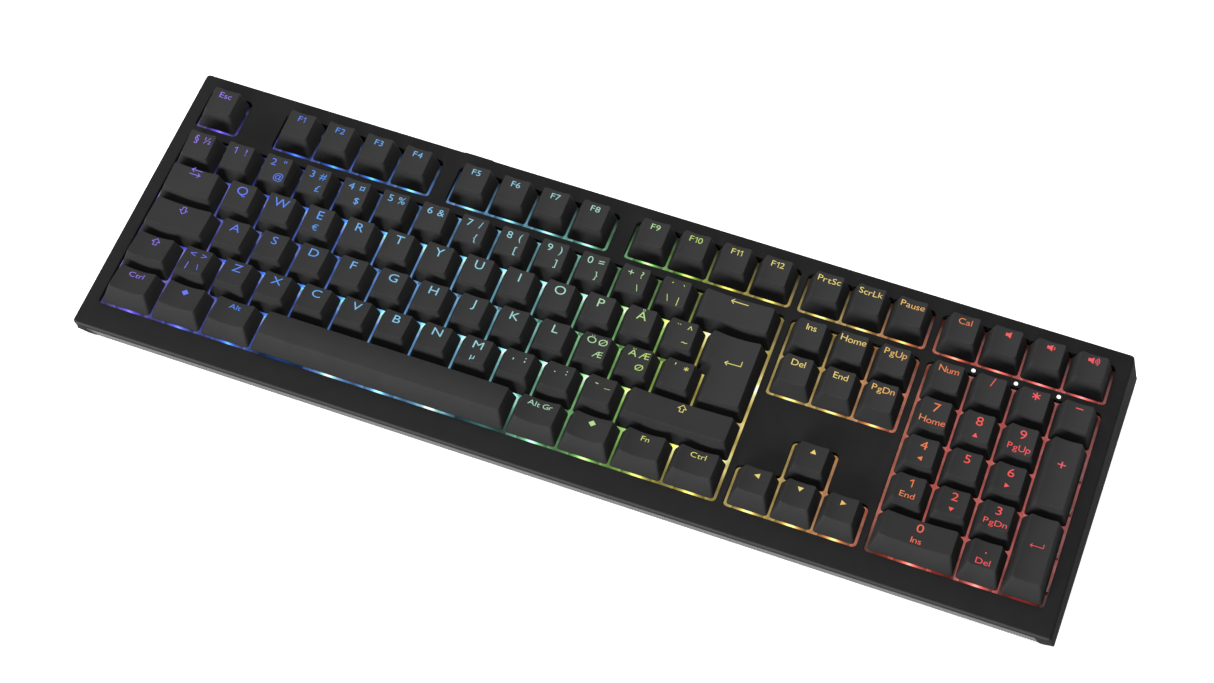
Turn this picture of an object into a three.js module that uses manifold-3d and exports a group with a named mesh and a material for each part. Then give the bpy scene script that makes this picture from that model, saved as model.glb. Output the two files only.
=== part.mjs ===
// Full-size mechanical keyboard, ISO layout, 109 keys.
// Units are millimetres. +X runs along the rows to the right, +Y to the rear, +Z up.
// The origin is on the desk, under the middle of the keyboard's outline.
// Most parts are described in the deck's own frame: its middle is the origin, and its top surface
// is the plane z = 0. The deck is tipped up at the rear by TILT.

import * as THREE from 'three';
import { ConvexGeometry } from 'three/addons/geometries/ConvexGeometry.js';
import { mergeVertices } from 'three/addons/utils/BufferGeometryUtils.js';
import Module from 'manifold-3d';

const wasm = await Module();
wasm.setup();

// ---- Driving dimensions ----

const GAP = 0.3; // between pieces that rest on each other
const UNIT = 19.05; // key pitch
const GRID_UNITS = 22.5; // keys field, in key pitches
const FUNCTION_GAP = 5.84; // extra space below the function row
const FIRST_ROW_Y = -48.3; // middle of the bottom row

const TILT = THREE.MathUtils.degToRad(4);
const DECK_WIDTH = 442.6;
const DECK_DEPTH = 142;
const DECK_HEIGHT = 22.9; // from the desk to the middle of the deck
const LIP = 1.5; // upright edge along the front
const SIDE_SLOPE = 0.19; // the left and right walls lean out
const REAR_SLOPE = 0.1775; // the rear wall leans out
const FRONT_SLOPE = 0.314; // the front wall leans in
const PARTING_HEIGHT = 5.2; // from the desk to the edge where the two shells meet
const BELLY_HEIGHT = 1.2; // from the desk to the underside
const BELLY_INSET = 5; // the underside is this much smaller than the parting edge
const ROOF = 2.5; // thickness of the deck
const WALL = 2.4;
const FRONT_WALL = 3.6;
const FLOOR = 2;

const OPENING_MARGIN = 0.75; // from a key's cell to the edge of the deck's opening
const OPENING_RADIUS = 1.5;

const TRIM_WIDTH = 436;
const TRIM_TOP = -6.6; // below the deck
const TRIM_DEPTH = 1.3; // pocket in the front wall
const TRIM_THICKNESS = 1;

const PLATE_TOP = -6.8;
const PLATE_THICKNESS = 1.5;
const PLATE_WIDTH = 434;
const PLATE_DEPTH = 129;
const BOARD_TOP = -11.8;
const BOARD_THICKNESS = 1.6;

const SWITCH_HALF = 6.95; // half the side of a switch housing
const SWITCH_WAIST = -6; // the housing tapers above this level
const SWITCH_TOP = -1;
const WELL_FLOOR = -10.4;
const STEM = [6.8, 5.4]; // slider section
const STEM_BOTTOM = -5.4;
const FILM_THICKNESS = 0.5; // sheet on the circuit board that joins the housings

const SKIRT_BOTTOM = -0.6;
const SKIRT_INSET = 0.475; // half the space between two skirts
const TOP_INSET = 3.4; // from the cell's side to the side of the touch face
const CAP_WALL = 1.4;
const CAP_ROOF = 1.8;

const STAB_WIRE_RADIUS = 0.7;
const STAB_AXIS_Z = -5.9;
const STAB_AXIS_OFFSET = 8.2; // from the key's middle line to the wire's long bar
const STAB_ARM = 9;
const STAB_TIP_Z = -1.5;
const STAB_POST = [3.2, 4.4];
const STAB_POST_BOTTOM = -0.5;
const CLIP_BACK = 3.6; // from the arm to the clip that holds the bar
const CLIP_SIZE = [2.6, 3.4];
const CLIP_TOP = -5;

const USB_X = -85.7;
const USB_SIZE = [9, 7, 3.3];
const USB_MOUTH_Y = 71.8;
const USB_BOTTOM = -11.5;

const DOT_Y = 40.1; // indicator dots, in the strip above the numeric pad
const DOT_RADIUS = 1.4;

const FOOT_X = 186;
const FOOT_SIZE = [34, 15, 3.6];
const FOOT_AXIS = [56, 3.6]; // Y and Z of the hinge
const FOOT_PIN_RADIUS = 1.3;
const FOOT_POCKET_TOP = 6;

// Each row's touch face: rear edge Y and Z, front edge Y and Z, from the row's middle and the deck.
const SCULPT = [
  { rearY: 8.1, rearZ: 6.8, frontY: -5.1, frontZ: 9.1 },
  { rearY: 7.9, rearZ: 6.9, frontY: -5.6, frontZ: 9.1 },
  { rearY: 7.9, rearZ: 7.1, frontY: -6.2, frontZ: 8.2 },
  { rearY: 7.4, rearZ: 8.8, frontY: -5.9, frontZ: 7.9 },
  { rearY: 6.9, rearZ: 9.6, frontY: -6.1, frontZ: 8.3 },
  { rearY: 7.9, rearZ: 8.8, frontY: -5.5, frontZ: 8.5 },
];

// Key nodes: name, row (0 is the bottom row), first cell's left edge in pitches, cell widths in
// pitches. Equal keys that stand side by side share a node and are joined by short tabs.
const KEY_NODES = [
  ['escape_key', 5, 0, [1]],
  ['f1_to_f4_keys', 5, 2, [1, 1, 1, 1]],
  ['f5_to_f8_keys', 5, 6.5, [1, 1, 1, 1]],
  ['f9_to_f12_keys', 5, 11, [1, 1, 1, 1]],
  ['print_to_pause_keys', 5, 15.25, [1, 1, 1]],
  ['calculator_and_volume_keys', 5, 18.5, [1, 1, 1, 1]],
  ['number_row_left_keys', 4, 0, [1, 1, 1, 1, 1, 1]],
  ['number_row_right_keys', 4, 6, [1, 1, 1, 1, 1, 1, 1]],
  ['backspace_key', 4, 13, [2]],
  ['insert_to_page_up_keys', 4, 15.25, [1, 1, 1]],
  ['numpad_top_row_keys', 4, 18.5, [1, 1, 1, 1]],
  ['tab_key', 3, 0, [1.5]],
  ['q_row_left_keys', 3, 1.5, [1, 1, 1, 1, 1]],
  ['q_row_right_keys', 3, 6.5, [1, 1, 1, 1, 1, 1, 1]],
  ['delete_to_page_down_keys', 3, 15.25, [1, 1, 1]],
  ['numpad_789_keys', 3, 18.5, [1, 1, 1]],
  ['caps_lock_key', 2, 0, [1.75]],
  ['a_row_left_keys', 2, 1.75, [1, 1, 1, 1, 1]],
  ['a_row_right_keys', 2, 6.75, [1, 1, 1, 1, 1, 1, 1]],
  ['numpad_456_keys', 2, 18.5, [1, 1, 1]],
  ['left_shift_key', 1, 0, [1.25]],
  ['z_row_left_keys', 1, 1.25, [1, 1, 1, 1, 1, 1]],
  ['z_row_right_keys', 1, 7.25, [1, 1, 1, 1, 1]],
  ['right_shift_key', 1, 12.25, [2.75]],
  ['arrow_up_key', 1, 16.25, [1]],
  ['numpad_123_keys', 1, 18.5, [1, 1, 1]],
  ['left_ctrl_key', 0, 0, [1.25]],
  ['left_super_key', 0, 1.25, [1.25]],
  ['left_alt_key', 0, 2.5, [1.25]],
  ['space_bar', 0, 3.75, [6.25]],
  ['alt_gr_key', 0, 10, [1.25]],
  ['right_super_key', 0, 11.25, [1.25]],
  ['fn_key', 0, 12.5, [1.25]],
  ['right_ctrl_key', 0, 13.75, [1.25]],
  ['arrow_left_to_right_keys', 0, 15.25, [1, 1, 1]],
  ['numpad_0_key', 0, 18.5, [2]],
  ['numpad_dot_key', 0, 20.5, [1]],
];

// Keys two rows tall: name, lower row, left edge, width.
const TALL_KEYS = [
  ['enter_key', 2, 13.75, 1.25],
  ['numpad_plus_key', 2, 21.5, 1],
  ['numpad_enter_key', 0, 21.5, 1],
];
const ENTER_TOP_LEFT = 13.5; // the upper half of the enter key is wider

// Stabilised keys: name of the wire, key's name, half the distance between its two posts.
const SHORT_SPAN = 11.9;
const STABILISERS = [
  ['backspace_stabiliser_wire', 'backspace_key', SHORT_SPAN],
  ['right_shift_stabiliser_wire', 'right_shift_key', SHORT_SPAN],
  ['space_stabiliser_wire', 'space_bar', 50],
  ['numpad_0_stabiliser_wire', 'numpad_0_key', SHORT_SPAN],
  ['enter_stabiliser_wire', 'enter_key', SHORT_SPAN],
  ['numpad_plus_stabiliser_wire', 'numpad_plus_key', SHORT_SPAN],
  ['numpad_enter_stabiliser_wire', 'numpad_enter_key', SHORT_SPAN],
];

// Openings in the deck: first row, last row, left and right edges in pitches.
const OPENINGS = [
  [5, 5, 0, 1],
  [5, 5, 2, 6],
  [5, 5, 6.5, 10.5],
  [5, 5, 11, 15],
  [5, 5, 15.25, 18.25],
  [5, 5, 18.5, 22.5],
  [0, 4, 0, 15],
  [3, 4, 15.25, 18.25],
  [0, 4, 18.5, 22.5],
];

// ---- Materials ----

const plastic = (color, roughness = 0.6) =>
  new THREE.MeshStandardMaterial({ color, roughness, metalness: 0 });
const metal = (color, roughness = 0.4) =>
  new THREE.MeshStandardMaterial({ color, roughness, metalness: 1 });

const MATERIALS = {
  case: plastic(0x2b2b2b),
  trim: plastic(0x747474),
  cap: plastic(0x3c3c3c, 0.7),
  housing: plastic(0x1b1b1d, 0.4),
  plate: plastic(0xd8dce0, 0.5),
  board: plastic(0x10261a, 0.5),
  steel: metal(0xb4b6ba),
  rubber: plastic(0x161616, 0.9),
  light: plastic(0xf4f6ff, 0.3),
};

// ---- Solids ----

function solid(geometry) {
  geometry.deleteAttribute('normal');
  geometry.deleteAttribute('uv');
  const merged = mergeVertices(geometry, 1e-4);
  return new wasm.Manifold(new wasm.Mesh({
    numProp: 3,
    vertProperties: new Float32Array(merged.attributes.position.array),
    triVerts: new Uint32Array(merged.index.array),
  }));
}

function box(x0, x1, y0, y1, z0, z1) {
  const geometry = new THREE.BoxGeometry(x1 - x0, y1 - y0, z1 - z0);
  geometry.translate((x0 + x1) / 2, (y0 + y1) / 2, (z0 + z1) / 2);
  return solid(geometry);
}

function hull(points) {
  return solid(new ConvexGeometry(points));
}

// A straight rod between two points.
function rod(from, to, radius, sides = 6) {
  const along = to.clone().sub(from);
  const geometry = new THREE.CylinderGeometry(radius, radius, along.length(), sides);
  const turn = new THREE.Quaternion()
    .setFromUnitVectors(new THREE.Vector3(0, 1, 0), along.clone().normalize());
  geometry.applyQuaternion(turn);
  geometry.translate(...from.clone().add(to).multiplyScalar(0.5).toArray());
  return solid(geometry);
}

// A box whose outline has round corners.
function roundedBox(x0, x1, y0, y1, z0, z1, radius) {
  const shape = new THREE.Shape();
  const corners = [
    [x1 - radius, y0 + radius, -0.5],
    [x1 - radius, y1 - radius, 0],
    [x0 + radius, y1 - radius, 0.5],
    [x0 + radius, y0 + radius, 1],
  ];
  for (const [x, y, start] of corners) {
    shape.absarc(x, y, radius, start * Math.PI, (start + 0.5) * Math.PI, false);
  }
  const options = { depth: z1 - z0, bevelEnabled: false, curveSegments: 2 };
  const geometry = new THREE.ExtrudeGeometry(shape, options);
  geometry.translate(0, 0, z0);
  return solid(geometry);
}

const join = (solids) => solids.reduce((whole, next) => whole.add(next));
const v3 = (x, y, z) => new THREE.Vector3(x, y, z);

function mesh(name, shape, material) {
  const { vertProperties, triVerts, numProp } = shape.getMesh();
  const position = new Float32Array((vertProperties.length / numProp) * 3);
  for (let i = 0; i < position.length / 3; i += 1) {
    position.set(vertProperties.slice(i * numProp, i * numProp + 3), i * 3);
  }
  const geometry = new THREE.BufferGeometry();
  geometry.setAttribute('position', new THREE.BufferAttribute(position, 3));
  geometry.setIndex(new THREE.BufferAttribute(new Uint32Array(triVerts), 1));
  geometry.computeVertexNormals();
  const made = new THREE.Mesh(geometry, material);
  made.name = name;
  return made;
}

// ---- Frames and levels ----

const columnX = (pitches) => (pitches - GRID_UNITS / 2) * UNIT;
const rowY = (row) => FIRST_ROW_Y + row * UNIT + (row === 5 ? FUNCTION_GAP : 0);

// The outer corner of the case at a height over the desk, in the deck's frame.
function cornerAt(sideX, sideY, height, inset = 0, frontInset = inset) {
  const slope = sideY > 0 ? REAR_SLOPE : FRONT_SLOPE;
  const start = sideY > 0 ? DECK_DEPTH / 2 : -DECK_DEPTH / 2 - FRONT_SLOPE * LIP;
  const fall = height - DECK_HEIGHT - start * Math.sin(TILT);
  const z = fall / (Math.cos(TILT) - slope * Math.sin(TILT));
  const y = start - slope * z - (sideY > 0 ? inset : -frontInset);
  return v3(sideX * (DECK_WIDTH / 2 - SIDE_SLOPE * z - inset), y, z);
}

const SIDES = [-1, 1];
const fourCorners = (make) => SIDES.flatMap((x) => SIDES.map((y) => make(x, y)));

// The deck's middle is set back so that the whole outline is centred on the origin.
const REAR_EDGE = cornerAt(1, 1, PARTING_HEIGHT - GAP);
const REAR_Y = REAR_EDGE.y * Math.cos(TILT) - REAR_EDGE.z * Math.sin(TILT);
const FRONT_Y = (-DECK_DEPTH / 2) * Math.cos(TILT);
const DECK_Y = -(REAR_Y + FRONT_Y) / 2;

const deck = new THREE.Group();
deck.position.set(0, DECK_Y, DECK_HEIGHT);
deck.rotation.x = TILT;
deck.updateMatrixWorld(true);
const toDesk = (point) => point.clone().applyMatrix4(deck.matrixWorld);

// ---- Case ----

function deckOpening([firstRow, lastRow, left, right]) {
  const half = UNIT / 2 + OPENING_MARGIN;
  return roundedBox(
    columnX(left) - OPENING_MARGIN, columnX(right) + OPENING_MARGIN,
    rowY(firstRow) - half, rowY(lastRow) + half, -2 * ROOF, 1, OPENING_RADIUS,
  );
}

// The arrow keys' opening is an upside-down T.
function arrowOpening() {
  return deckOpening([0, 0, 15.25, 18.25]).add(deckOpening([0, 1, 16.25, 17.25]));
}

// The pocket for the trim, in both shells' front walls.
function trimSlab(outside, inside, halfWidth, top, bottom) {
  const frontY = (z) => -DECK_DEPTH / 2 - FRONT_SLOPE * (z + LIP);
  const points = SIDES.flatMap((side) => [top, bottom].flatMap((z) => {
    const lean = side * 0.25 * (top - z); // the ends are cut at a slant
    return [outside, inside].map((depth) => v3(side * halfWidth + lean, frontY(z) + depth, z));
  }));
  return hull(points);
}

function trimPocket() {
  return trimSlab(-2, TRIM_DEPTH, TRIM_WIDTH / 2 + GAP, TRIM_TOP + GAP, -24);
}

// The pad around the cable socket stands a little proud of the rear wall.
function socketPad() {
  const rearY = (z) => DECK_DEPTH / 2 - REAR_SLOPE * z;
  return hull([-7.6, 7.6].flatMap((x) => [-0.1, -16].flatMap((z) => [-1, 0.6].map(
    (depth) => v3(USB_X + x, rearY(z) + depth, z),
  ))));
}

function topCase() {
  const outer = hull([
    ...fourCorners((x, y) => v3(x * DECK_WIDTH / 2, y * DECK_DEPTH / 2, 0)),
    ...SIDES.map((x) => v3(x * (DECK_WIDTH / 2 + SIDE_SLOPE * LIP), -DECK_DEPTH / 2, -LIP)),
    ...fourCorners((x, y) => cornerAt(x, y, PARTING_HEIGHT)),
  ]);
  const inner = hull([
    ...fourCorners((x, y) => v3(
      x * (DECK_WIDTH / 2 - WALL), y * (DECK_DEPTH / 2 - (y > 0 ? WALL : FRONT_WALL)), -ROOF,
    )),
    ...fourCorners((x, y) => cornerAt(x, y, PARTING_HEIGHT - 2, WALL, FRONT_WALL)),
  ]);
  const socketHole = box(USB_X - 6.2, USB_X + 6.2, 66, 80, -12.6, -7.2);
  const dots = [19.5, 20.5, 21.5].map((column) => rod(
    v3(columnX(column), DOT_Y, -4), v3(columnX(column), DOT_Y, 1), DOT_RADIUS + GAP, 8,
  ));
  const bosses = [-210, -70, 70, 210].flatMap((x) => [-63, 66.2].map((y) => rod(
    v3(x, y, -ROOF + 0.5), v3(x, y, PLATE_TOP + GAP), 1.5,
  )));
  return outer.add(socketPad()).subtract(inner).add(join(bosses))
    .subtract(join([...OPENINGS.map(deckOpening), arrowOpening(), ...dots]))
    .subtract(socketHole).subtract(trimPocket());
}

// The underside's corner, in from the parting edge at the sides and the rear.
function bellyCorner(x, y, inset, height) {
  const edge = toDesk(cornerAt(x, y, PARTING_HEIGHT, BELLY_INSET + inset, 0));
  const front = toDesk(cornerAt(x, -1, height, 0)).y + inset * (FRONT_WALL / WALL);
  return v3(edge.x, y > 0 ? edge.y : front, height);
}

function footPocket(side) {
  const [axisY, axisZ] = FOOT_AXIS;
  const half = FOOT_SIZE[0] / 2 + 0.5;
  const x = side * FOOT_X;
  const rear = axisY + FOOT_SIZE[2] / 2 + 1.4;
  const pocket = box(x - half, x + half, axisY - FOOT_SIZE[1] - 0.6, rear, 0, FOOT_POCKET_TOP);
  const pinHole = rod(
    v3(x - half - 1.8, axisY, axisZ), v3(x + half + 1.8, axisY, axisZ), FOOT_PIN_RADIUS + GAP, 10,
  );
  return pocket.add(pinHole);
}

function footPocketShell(side) {
  const x = side * FOOT_X;
  const half = FOOT_SIZE[0] / 2 + 3.6;
  return box(
    x - half, x + half, FOOT_AXIS[0] - FOOT_SIZE[1] - 2.6, FOOT_AXIS[0] + 5.2,
    BELLY_HEIGHT + 0.5, FOOT_POCKET_TOP + FLOOR,
  );
}

// Pads: name, X range, Y range.
const PADS = [
  ['front_pad', -150, 150, -62, -54],
  ['rear_pad_left', -152, -92, 56, 65],
  ['rear_pad_right', 92, 152, 56, 65],
];
const PAD_TOP = 2.1;

// Posts that hold up the circuit board: X and Y on the desk.
function boardPosts() {
  return [-205, -120, 0, 120, 205].flatMap((x) => [-52, 0, 36].map((y) => {
    const level = DECK_HEIGHT + (y - DECK_Y) * Math.tan(TILT);
    const top = level + (BOARD_TOP - BOARD_THICKNESS) / Math.cos(TILT) - 2 * GAP;
    return rod(v3(x, y, BELLY_HEIGHT + 1), v3(x, y, top), 2.2);
  }));
}

function bottomCase() {
  const rim = PARTING_HEIGHT - GAP;
  const outer = hull([
    ...fourCorners((x, y) => toDesk(cornerAt(x, y, rim))),
    ...fourCorners((x, y) => bellyCorner(x, y, 0, BELLY_HEIGHT)),
  ]);
  const inner = hull([
    ...fourCorners((x, y) => toDesk(cornerAt(x, y, rim + 1, WALL, FRONT_WALL))),
    ...fourCorners((x, y) => bellyCorner(x, y, WALL, BELLY_HEIGHT + FLOOR)),
  ]);
  const pads = PADS.map(([, x0, x1, y0, y1]) => box(
    x0 - GAP, x1 + GAP, y0 - GAP, y1 + GAP, 0, PAD_TOP + GAP,
  ));
  const pocket = trimPocket().transform(deck.matrixWorld.toArray());
  return join([outer.subtract(inner), ...SIDES.map(footPocketShell), ...boardPosts()])
    .subtract(join([...SIDES.map(footPocket), ...pads]))
    .subtract(pocket);
}

function frontTrim() {
  const bottom = cornerAt(1, -1, BELLY_HEIGHT + 0.2).z;
  return trimSlab(TRIM_DEPTH - GAP - TRIM_THICKNESS, TRIM_DEPTH - GAP, TRIM_WIDTH / 2, TRIM_TOP, bottom);
}

function tiltFoot(side) {
  const [axisY, axisZ] = FOOT_AXIS;
  const x = side * FOOT_X;
  const half = FOOT_SIZE[0] / 2;
  const leg = box(
    x - half, x + half, axisY - FOOT_SIZE[1], axisY,
    axisZ - FOOT_SIZE[2] / 2, axisZ + FOOT_SIZE[2] / 2,
  );
  const barrel = rod(v3(x - half, axisY, axisZ), v3(x + half, axisY, axisZ), FOOT_SIZE[2] / 2, 12);
  const pin = rod(
    v3(x - half - 1.6, axisY, axisZ), v3(x + half + 1.6, axisY, axisZ), FOOT_PIN_RADIUS, 10,
  );
  return join([leg, barrel, pin]);
}

// ---- Key cells ----

// Every key's cell: its switch's middle, its stabiliser's direction and its node.
function keyCells() {
  const cells = [];
  for (const [name, row, start, widths] of KEY_NODES) {
    let left = start;
    for (const width of widths) {
      cells.push({ name, row, left, width, x: columnX(left + width / 2), y: rowY(row), tall: false });
      left += width;
    }
  }
  for (const [name, row, left, width] of TALL_KEYS) {
    const y = (rowY(row) + rowY(row + 1)) / 2;
    cells.push({ name, row, left, width, x: columnX(left + width / 2), y, tall: true });
  }
  return cells;
}

const CELLS = keyCells();
const cellOf = (name) => CELLS.find((cell) => cell.name === name);

// A point beside a stabilised key's middle: along its long side, and across it.
function besideKey(cell, along, across, z) {
  return cell.tall ? v3(cell.x + across, cell.y + along, z) : v3(cell.x + along, cell.y + across, z);
}

function boxAround(point, [sizeX, sizeY], z0, z1) {
  return box(point.x - sizeX / 2, point.x + sizeX / 2, point.y - sizeY / 2, point.y + sizeY / 2, z0, z1);
}

const sized = (cell, [along, across]) => (cell.tall ? [across, along] : [along, across]);

// ---- Inside ----

function clipPlaces() {
  return STABILISERS.flatMap(([, key, span]) => {
    const cell = cellOf(key);
    return SIDES.map((side) => ({
      cell, at: besideKey(cell, side * (span - CLIP_BACK), STAB_AXIS_OFFSET, 0),
    }));
  });
}

function switchPlate() {
  const slab = box(
    -PLATE_WIDTH / 2, PLATE_WIDTH / 2, -PLATE_DEPTH / 2, PLATE_DEPTH / 2,
    PLATE_TOP - PLATE_THICKNESS, PLATE_TOP,
  );
  const side = 2 * (SWITCH_HALF + GAP);
  const hole = (at, size) => boxAround(at, size, PLATE_TOP - 2 * PLATE_THICKNESS, PLATE_TOP + 1);
  const switches = CELLS.map((cell) => hole(cell, [side, side]));
  const clips = clipPlaces().map(({ cell, at }) => (
    hole(at, sized(cell, CLIP_SIZE.map((size) => size + 2 * GAP)))
  ));
  return slab.subtract(join([...switches, ...clips]));
}

function switchHousing({ x, y }) {
  const ring = (halfX, halfY, z) => fourCorners((sx, sy) => v3(x + sx * halfX, y + sy * halfY, z));
  const shell = hull([
    ...ring(SWITCH_HALF, SWITCH_HALF, BOARD_TOP + GAP + FILM_THICKNESS / 2),
    ...ring(SWITCH_HALF, SWITCH_HALF, SWITCH_WAIST),
    ...ring(5, 4.4, SWITCH_TOP),
  ]);
  const well = boxAround({ x, y }, STEM.map((size) => size + 2 * GAP), WELL_FLOOR, 0);
  return shell.subtract(well);
}

// The bar of a stabiliser's wire lies in a notch on top of each clip.
function stabiliserClip({ cell, at }) {
  const post = boxAround(at, sized(cell, CLIP_SIZE), BOARD_TOP + GAP + FILM_THICKNESS / 2, CLIP_TOP);
  const notchWidth = 2 * (STAB_WIRE_RADIUS + GAP);
  const notch = boxAround(
    at, sized(cell, [2 * CLIP_SIZE[0], notchWidth]), STAB_AXIS_Z - STAB_WIRE_RADIUS - GAP, 0,
  );
  return post.subtract(notch);
}

// All the housings stand on a thin film that covers the board.
function switchHousings() {
  const film = box(
    -PLATE_WIDTH / 2, PLATE_WIDTH / 2, rowY(0) - UNIT / 2, rowY(5) + UNIT / 2,
    BOARD_TOP + GAP, BOARD_TOP + GAP + FILM_THICKNESS,
  );
  return join([film, ...CELLS.map(switchHousing), ...clipPlaces().map(stabiliserClip)]);
}

function circuitBoard() {
  return box(
    -PLATE_WIDTH / 2, PLATE_WIDTH / 2, -PLATE_DEPTH / 2 + 3, PLATE_DEPTH / 2 + 3,
    BOARD_TOP - BOARD_THICKNESS, BOARD_TOP,
  );
}

function usbSocket() {
  const [width, depth, height] = USB_SIZE;
  const middle = { x: USB_X, y: USB_MOUTH_Y - depth / 2 };
  const centreZ = USB_BOTTOM + height / 2;
  const sheet = 0.4;
  const shell = boxAround(middle, [width, depth], USB_BOTTOM, USB_BOTTOM + height);
  const hollow = boxAround(
    { x: USB_X, y: USB_MOUTH_Y }, [width - 2 * sheet, 2 * (depth - sheet)],
    USB_BOTTOM + sheet, USB_BOTTOM + height - sheet,
  );
  const tongue = boxAround(middle, [6, depth - 0.6], centreZ - 0.35, centreZ + 0.35);
  return shell.subtract(hollow).add(tongue);
}

function indicatorLightGuide() {
  const bar = box(columnX(19.5) - 2, columnX(21.5) + 2, DOT_Y - 1.2, DOT_Y + 1.2, -4.2, -ROOF - GAP);
  const posts = [19.5, 20.5, 21.5].map((column) => rod(
    v3(columnX(column), DOT_Y, -3.5), v3(columnX(column), DOT_Y, 0), DOT_RADIUS, 8,
  ));
  return join([bar, ...posts]);
}

// ---- Keys ----

// A cap's shell over a cell: X range, middle Y of its lower and upper rows, and those rows.
function capShell(x0, x1, lowerY, upperY, lowerRow, upperRow) {
  const front = SCULPT[lowerRow];
  const rear = SCULPT[upperRow];
  const halfSkirt = UNIT / 2 - SKIRT_INSET;
  const outer = [];
  const hollow = [];
  const ceiling = Math.min(front.frontZ, rear.rearZ) - CAP_ROOF;
  for (const side of SIDES) {
    const skirtX = side < 0 ? x0 + SKIRT_INSET : x1 - SKIRT_INSET;
    const topX = side < 0 ? x0 + TOP_INSET : x1 - TOP_INSET;
    outer.push(v3(skirtX, lowerY - halfSkirt, SKIRT_BOTTOM), v3(skirtX, upperY + halfSkirt, SKIRT_BOTTOM));
    outer.push(v3(topX, lowerY + front.frontY, front.frontZ), v3(topX, upperY + rear.rearY, rear.rearZ));
    const insideX = skirtX - side * CAP_WALL;
    const ceilingX = topX - side * 0.9;
    const level = SKIRT_BOTTOM - 0.2;
    hollow.push(v3(insideX, lowerY - halfSkirt + CAP_WALL, level));
    hollow.push(v3(insideX, upperY + halfSkirt - CAP_WALL, level));
    hollow.push(v3(ceilingX, lowerY + front.frontY + 1.2, ceiling));
    hollow.push(v3(ceilingX, upperY + rear.rearY - 1.2, ceiling));
  }
  return { outer: hull(outer), hollow: hull(hollow), ceiling };
}

function sliderAndPosts(cell, ceiling) {
  const parts = [boxAround(cell, STEM, STEM_BOTTOM, ceiling + 0.5)];
  const stabiliser = STABILISERS.find(([, key]) => key === cell.name);
  if (stabiliser) {
    for (const side of SIDES) {
      const at = besideKey(cell, side * stabiliser[2], 0, 0);
      parts.push(boxAround(at, sized(cell, STAB_POST), STAB_POST_BOTTOM, ceiling + 0.5));
    }
  }
  return join(parts);
}

function key(cell) {
  const x0 = columnX(cell.left);
  const x1 = columnX(cell.left + cell.width);
  const upperRow = cell.tall ? cell.row + 1 : cell.row;
  const cap = capShell(x0, x1, rowY(cell.row), rowY(upperRow), cell.row, upperRow);
  let { outer, hollow } = cap;
  if (cell.name === 'enter_key') {
    const wide = capShell(columnX(ENTER_TOP_LEFT), x1, rowY(3), rowY(3), 3, 3);
    outer = outer.add(wide.outer);
    hollow = hollow.add(wide.hollow);
  }
  return outer.subtract(hollow).add(sliderAndPosts(cell, cap.ceiling));
}

// Short tabs between the skirts of neighbours that share a node.
function tabs(cells) {
  return cells.slice(1).map((cell) => boxAround(
    { x: columnX(cell.left), y: cell.y }, [2 * SKIRT_INSET + 1.6, 3], 0.4, 1.6,
  ));
}

function keyNode(name) {
  const cells = CELLS.filter((cell) => cell.name === name);
  return join([...cells.map(key), ...tabs(cells)]);
}

function stabiliserWire(keyName, span) {
  const cell = cellOf(keyName);
  const rise = STAB_TIP_Z - STAB_AXIS_Z;
  const tipAcross = STAB_AXIS_OFFSET - Math.sqrt(STAB_ARM ** 2 - rise ** 2);
  const overlap = STAB_WIRE_RADIUS * 0.6;
  const bar = rod(
    besideKey(cell, -span - overlap, STAB_AXIS_OFFSET, STAB_AXIS_Z),
    besideKey(cell, span + overlap, STAB_AXIS_OFFSET, STAB_AXIS_Z), STAB_WIRE_RADIUS,
  );
  const arms = SIDES.map((side) => rod(
    besideKey(cell, side * span, STAB_AXIS_OFFSET, STAB_AXIS_Z),
    besideKey(cell, side * span, tipAcross, STAB_TIP_Z), STAB_WIRE_RADIUS,
  ));
  return join([bar, ...arms]);
}

// ---- Assembly ----

deck.add(mesh('top_case', topCase(), MATERIALS.case));
deck.add(mesh('front_trim', frontTrim(), MATERIALS.trim));
deck.add(mesh('switch_plate', switchPlate(), MATERIALS.plate));
deck.add(mesh('switch_housings', switchHousings(), MATERIALS.housing));
deck.add(mesh('circuit_board', circuitBoard(), MATERIALS.board));
deck.add(mesh('usb_socket', usbSocket(), MATERIALS.steel));
deck.add(mesh('indicator_light_guide', indicatorLightGuide(), MATERIALS.light));
for (const name of new Set(CELLS.map((cell) => cell.name))) {
  deck.add(mesh(name, keyNode(name), MATERIALS.cap));
}
for (const [name, keyName, span] of STABILISERS) {
  deck.add(mesh(name, stabiliserWire(keyName, span), MATERIALS.steel));
}

const keyboard = new THREE.Group();
keyboard.name = 'keyboard';
keyboard.add(deck);
keyboard.add(mesh('bottom_case', bottomCase(), MATERIALS.case));
for (const [name, x0, x1, y0, y1] of PADS) {
  keyboard.add(mesh(name, box(x0, x1, y0, y1, 0, PAD_TOP), MATERIALS.rubber));
}
keyboard.add(mesh('tilt_foot_left', tiltFoot(-1), MATERIALS.case));
keyboard.add(mesh('tilt_foot_right', tiltFoot(1), MATERIALS.case));

export default keyboard;
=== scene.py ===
import math

import bmesh
import bpy
from mathutils import Matrix, Vector


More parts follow.
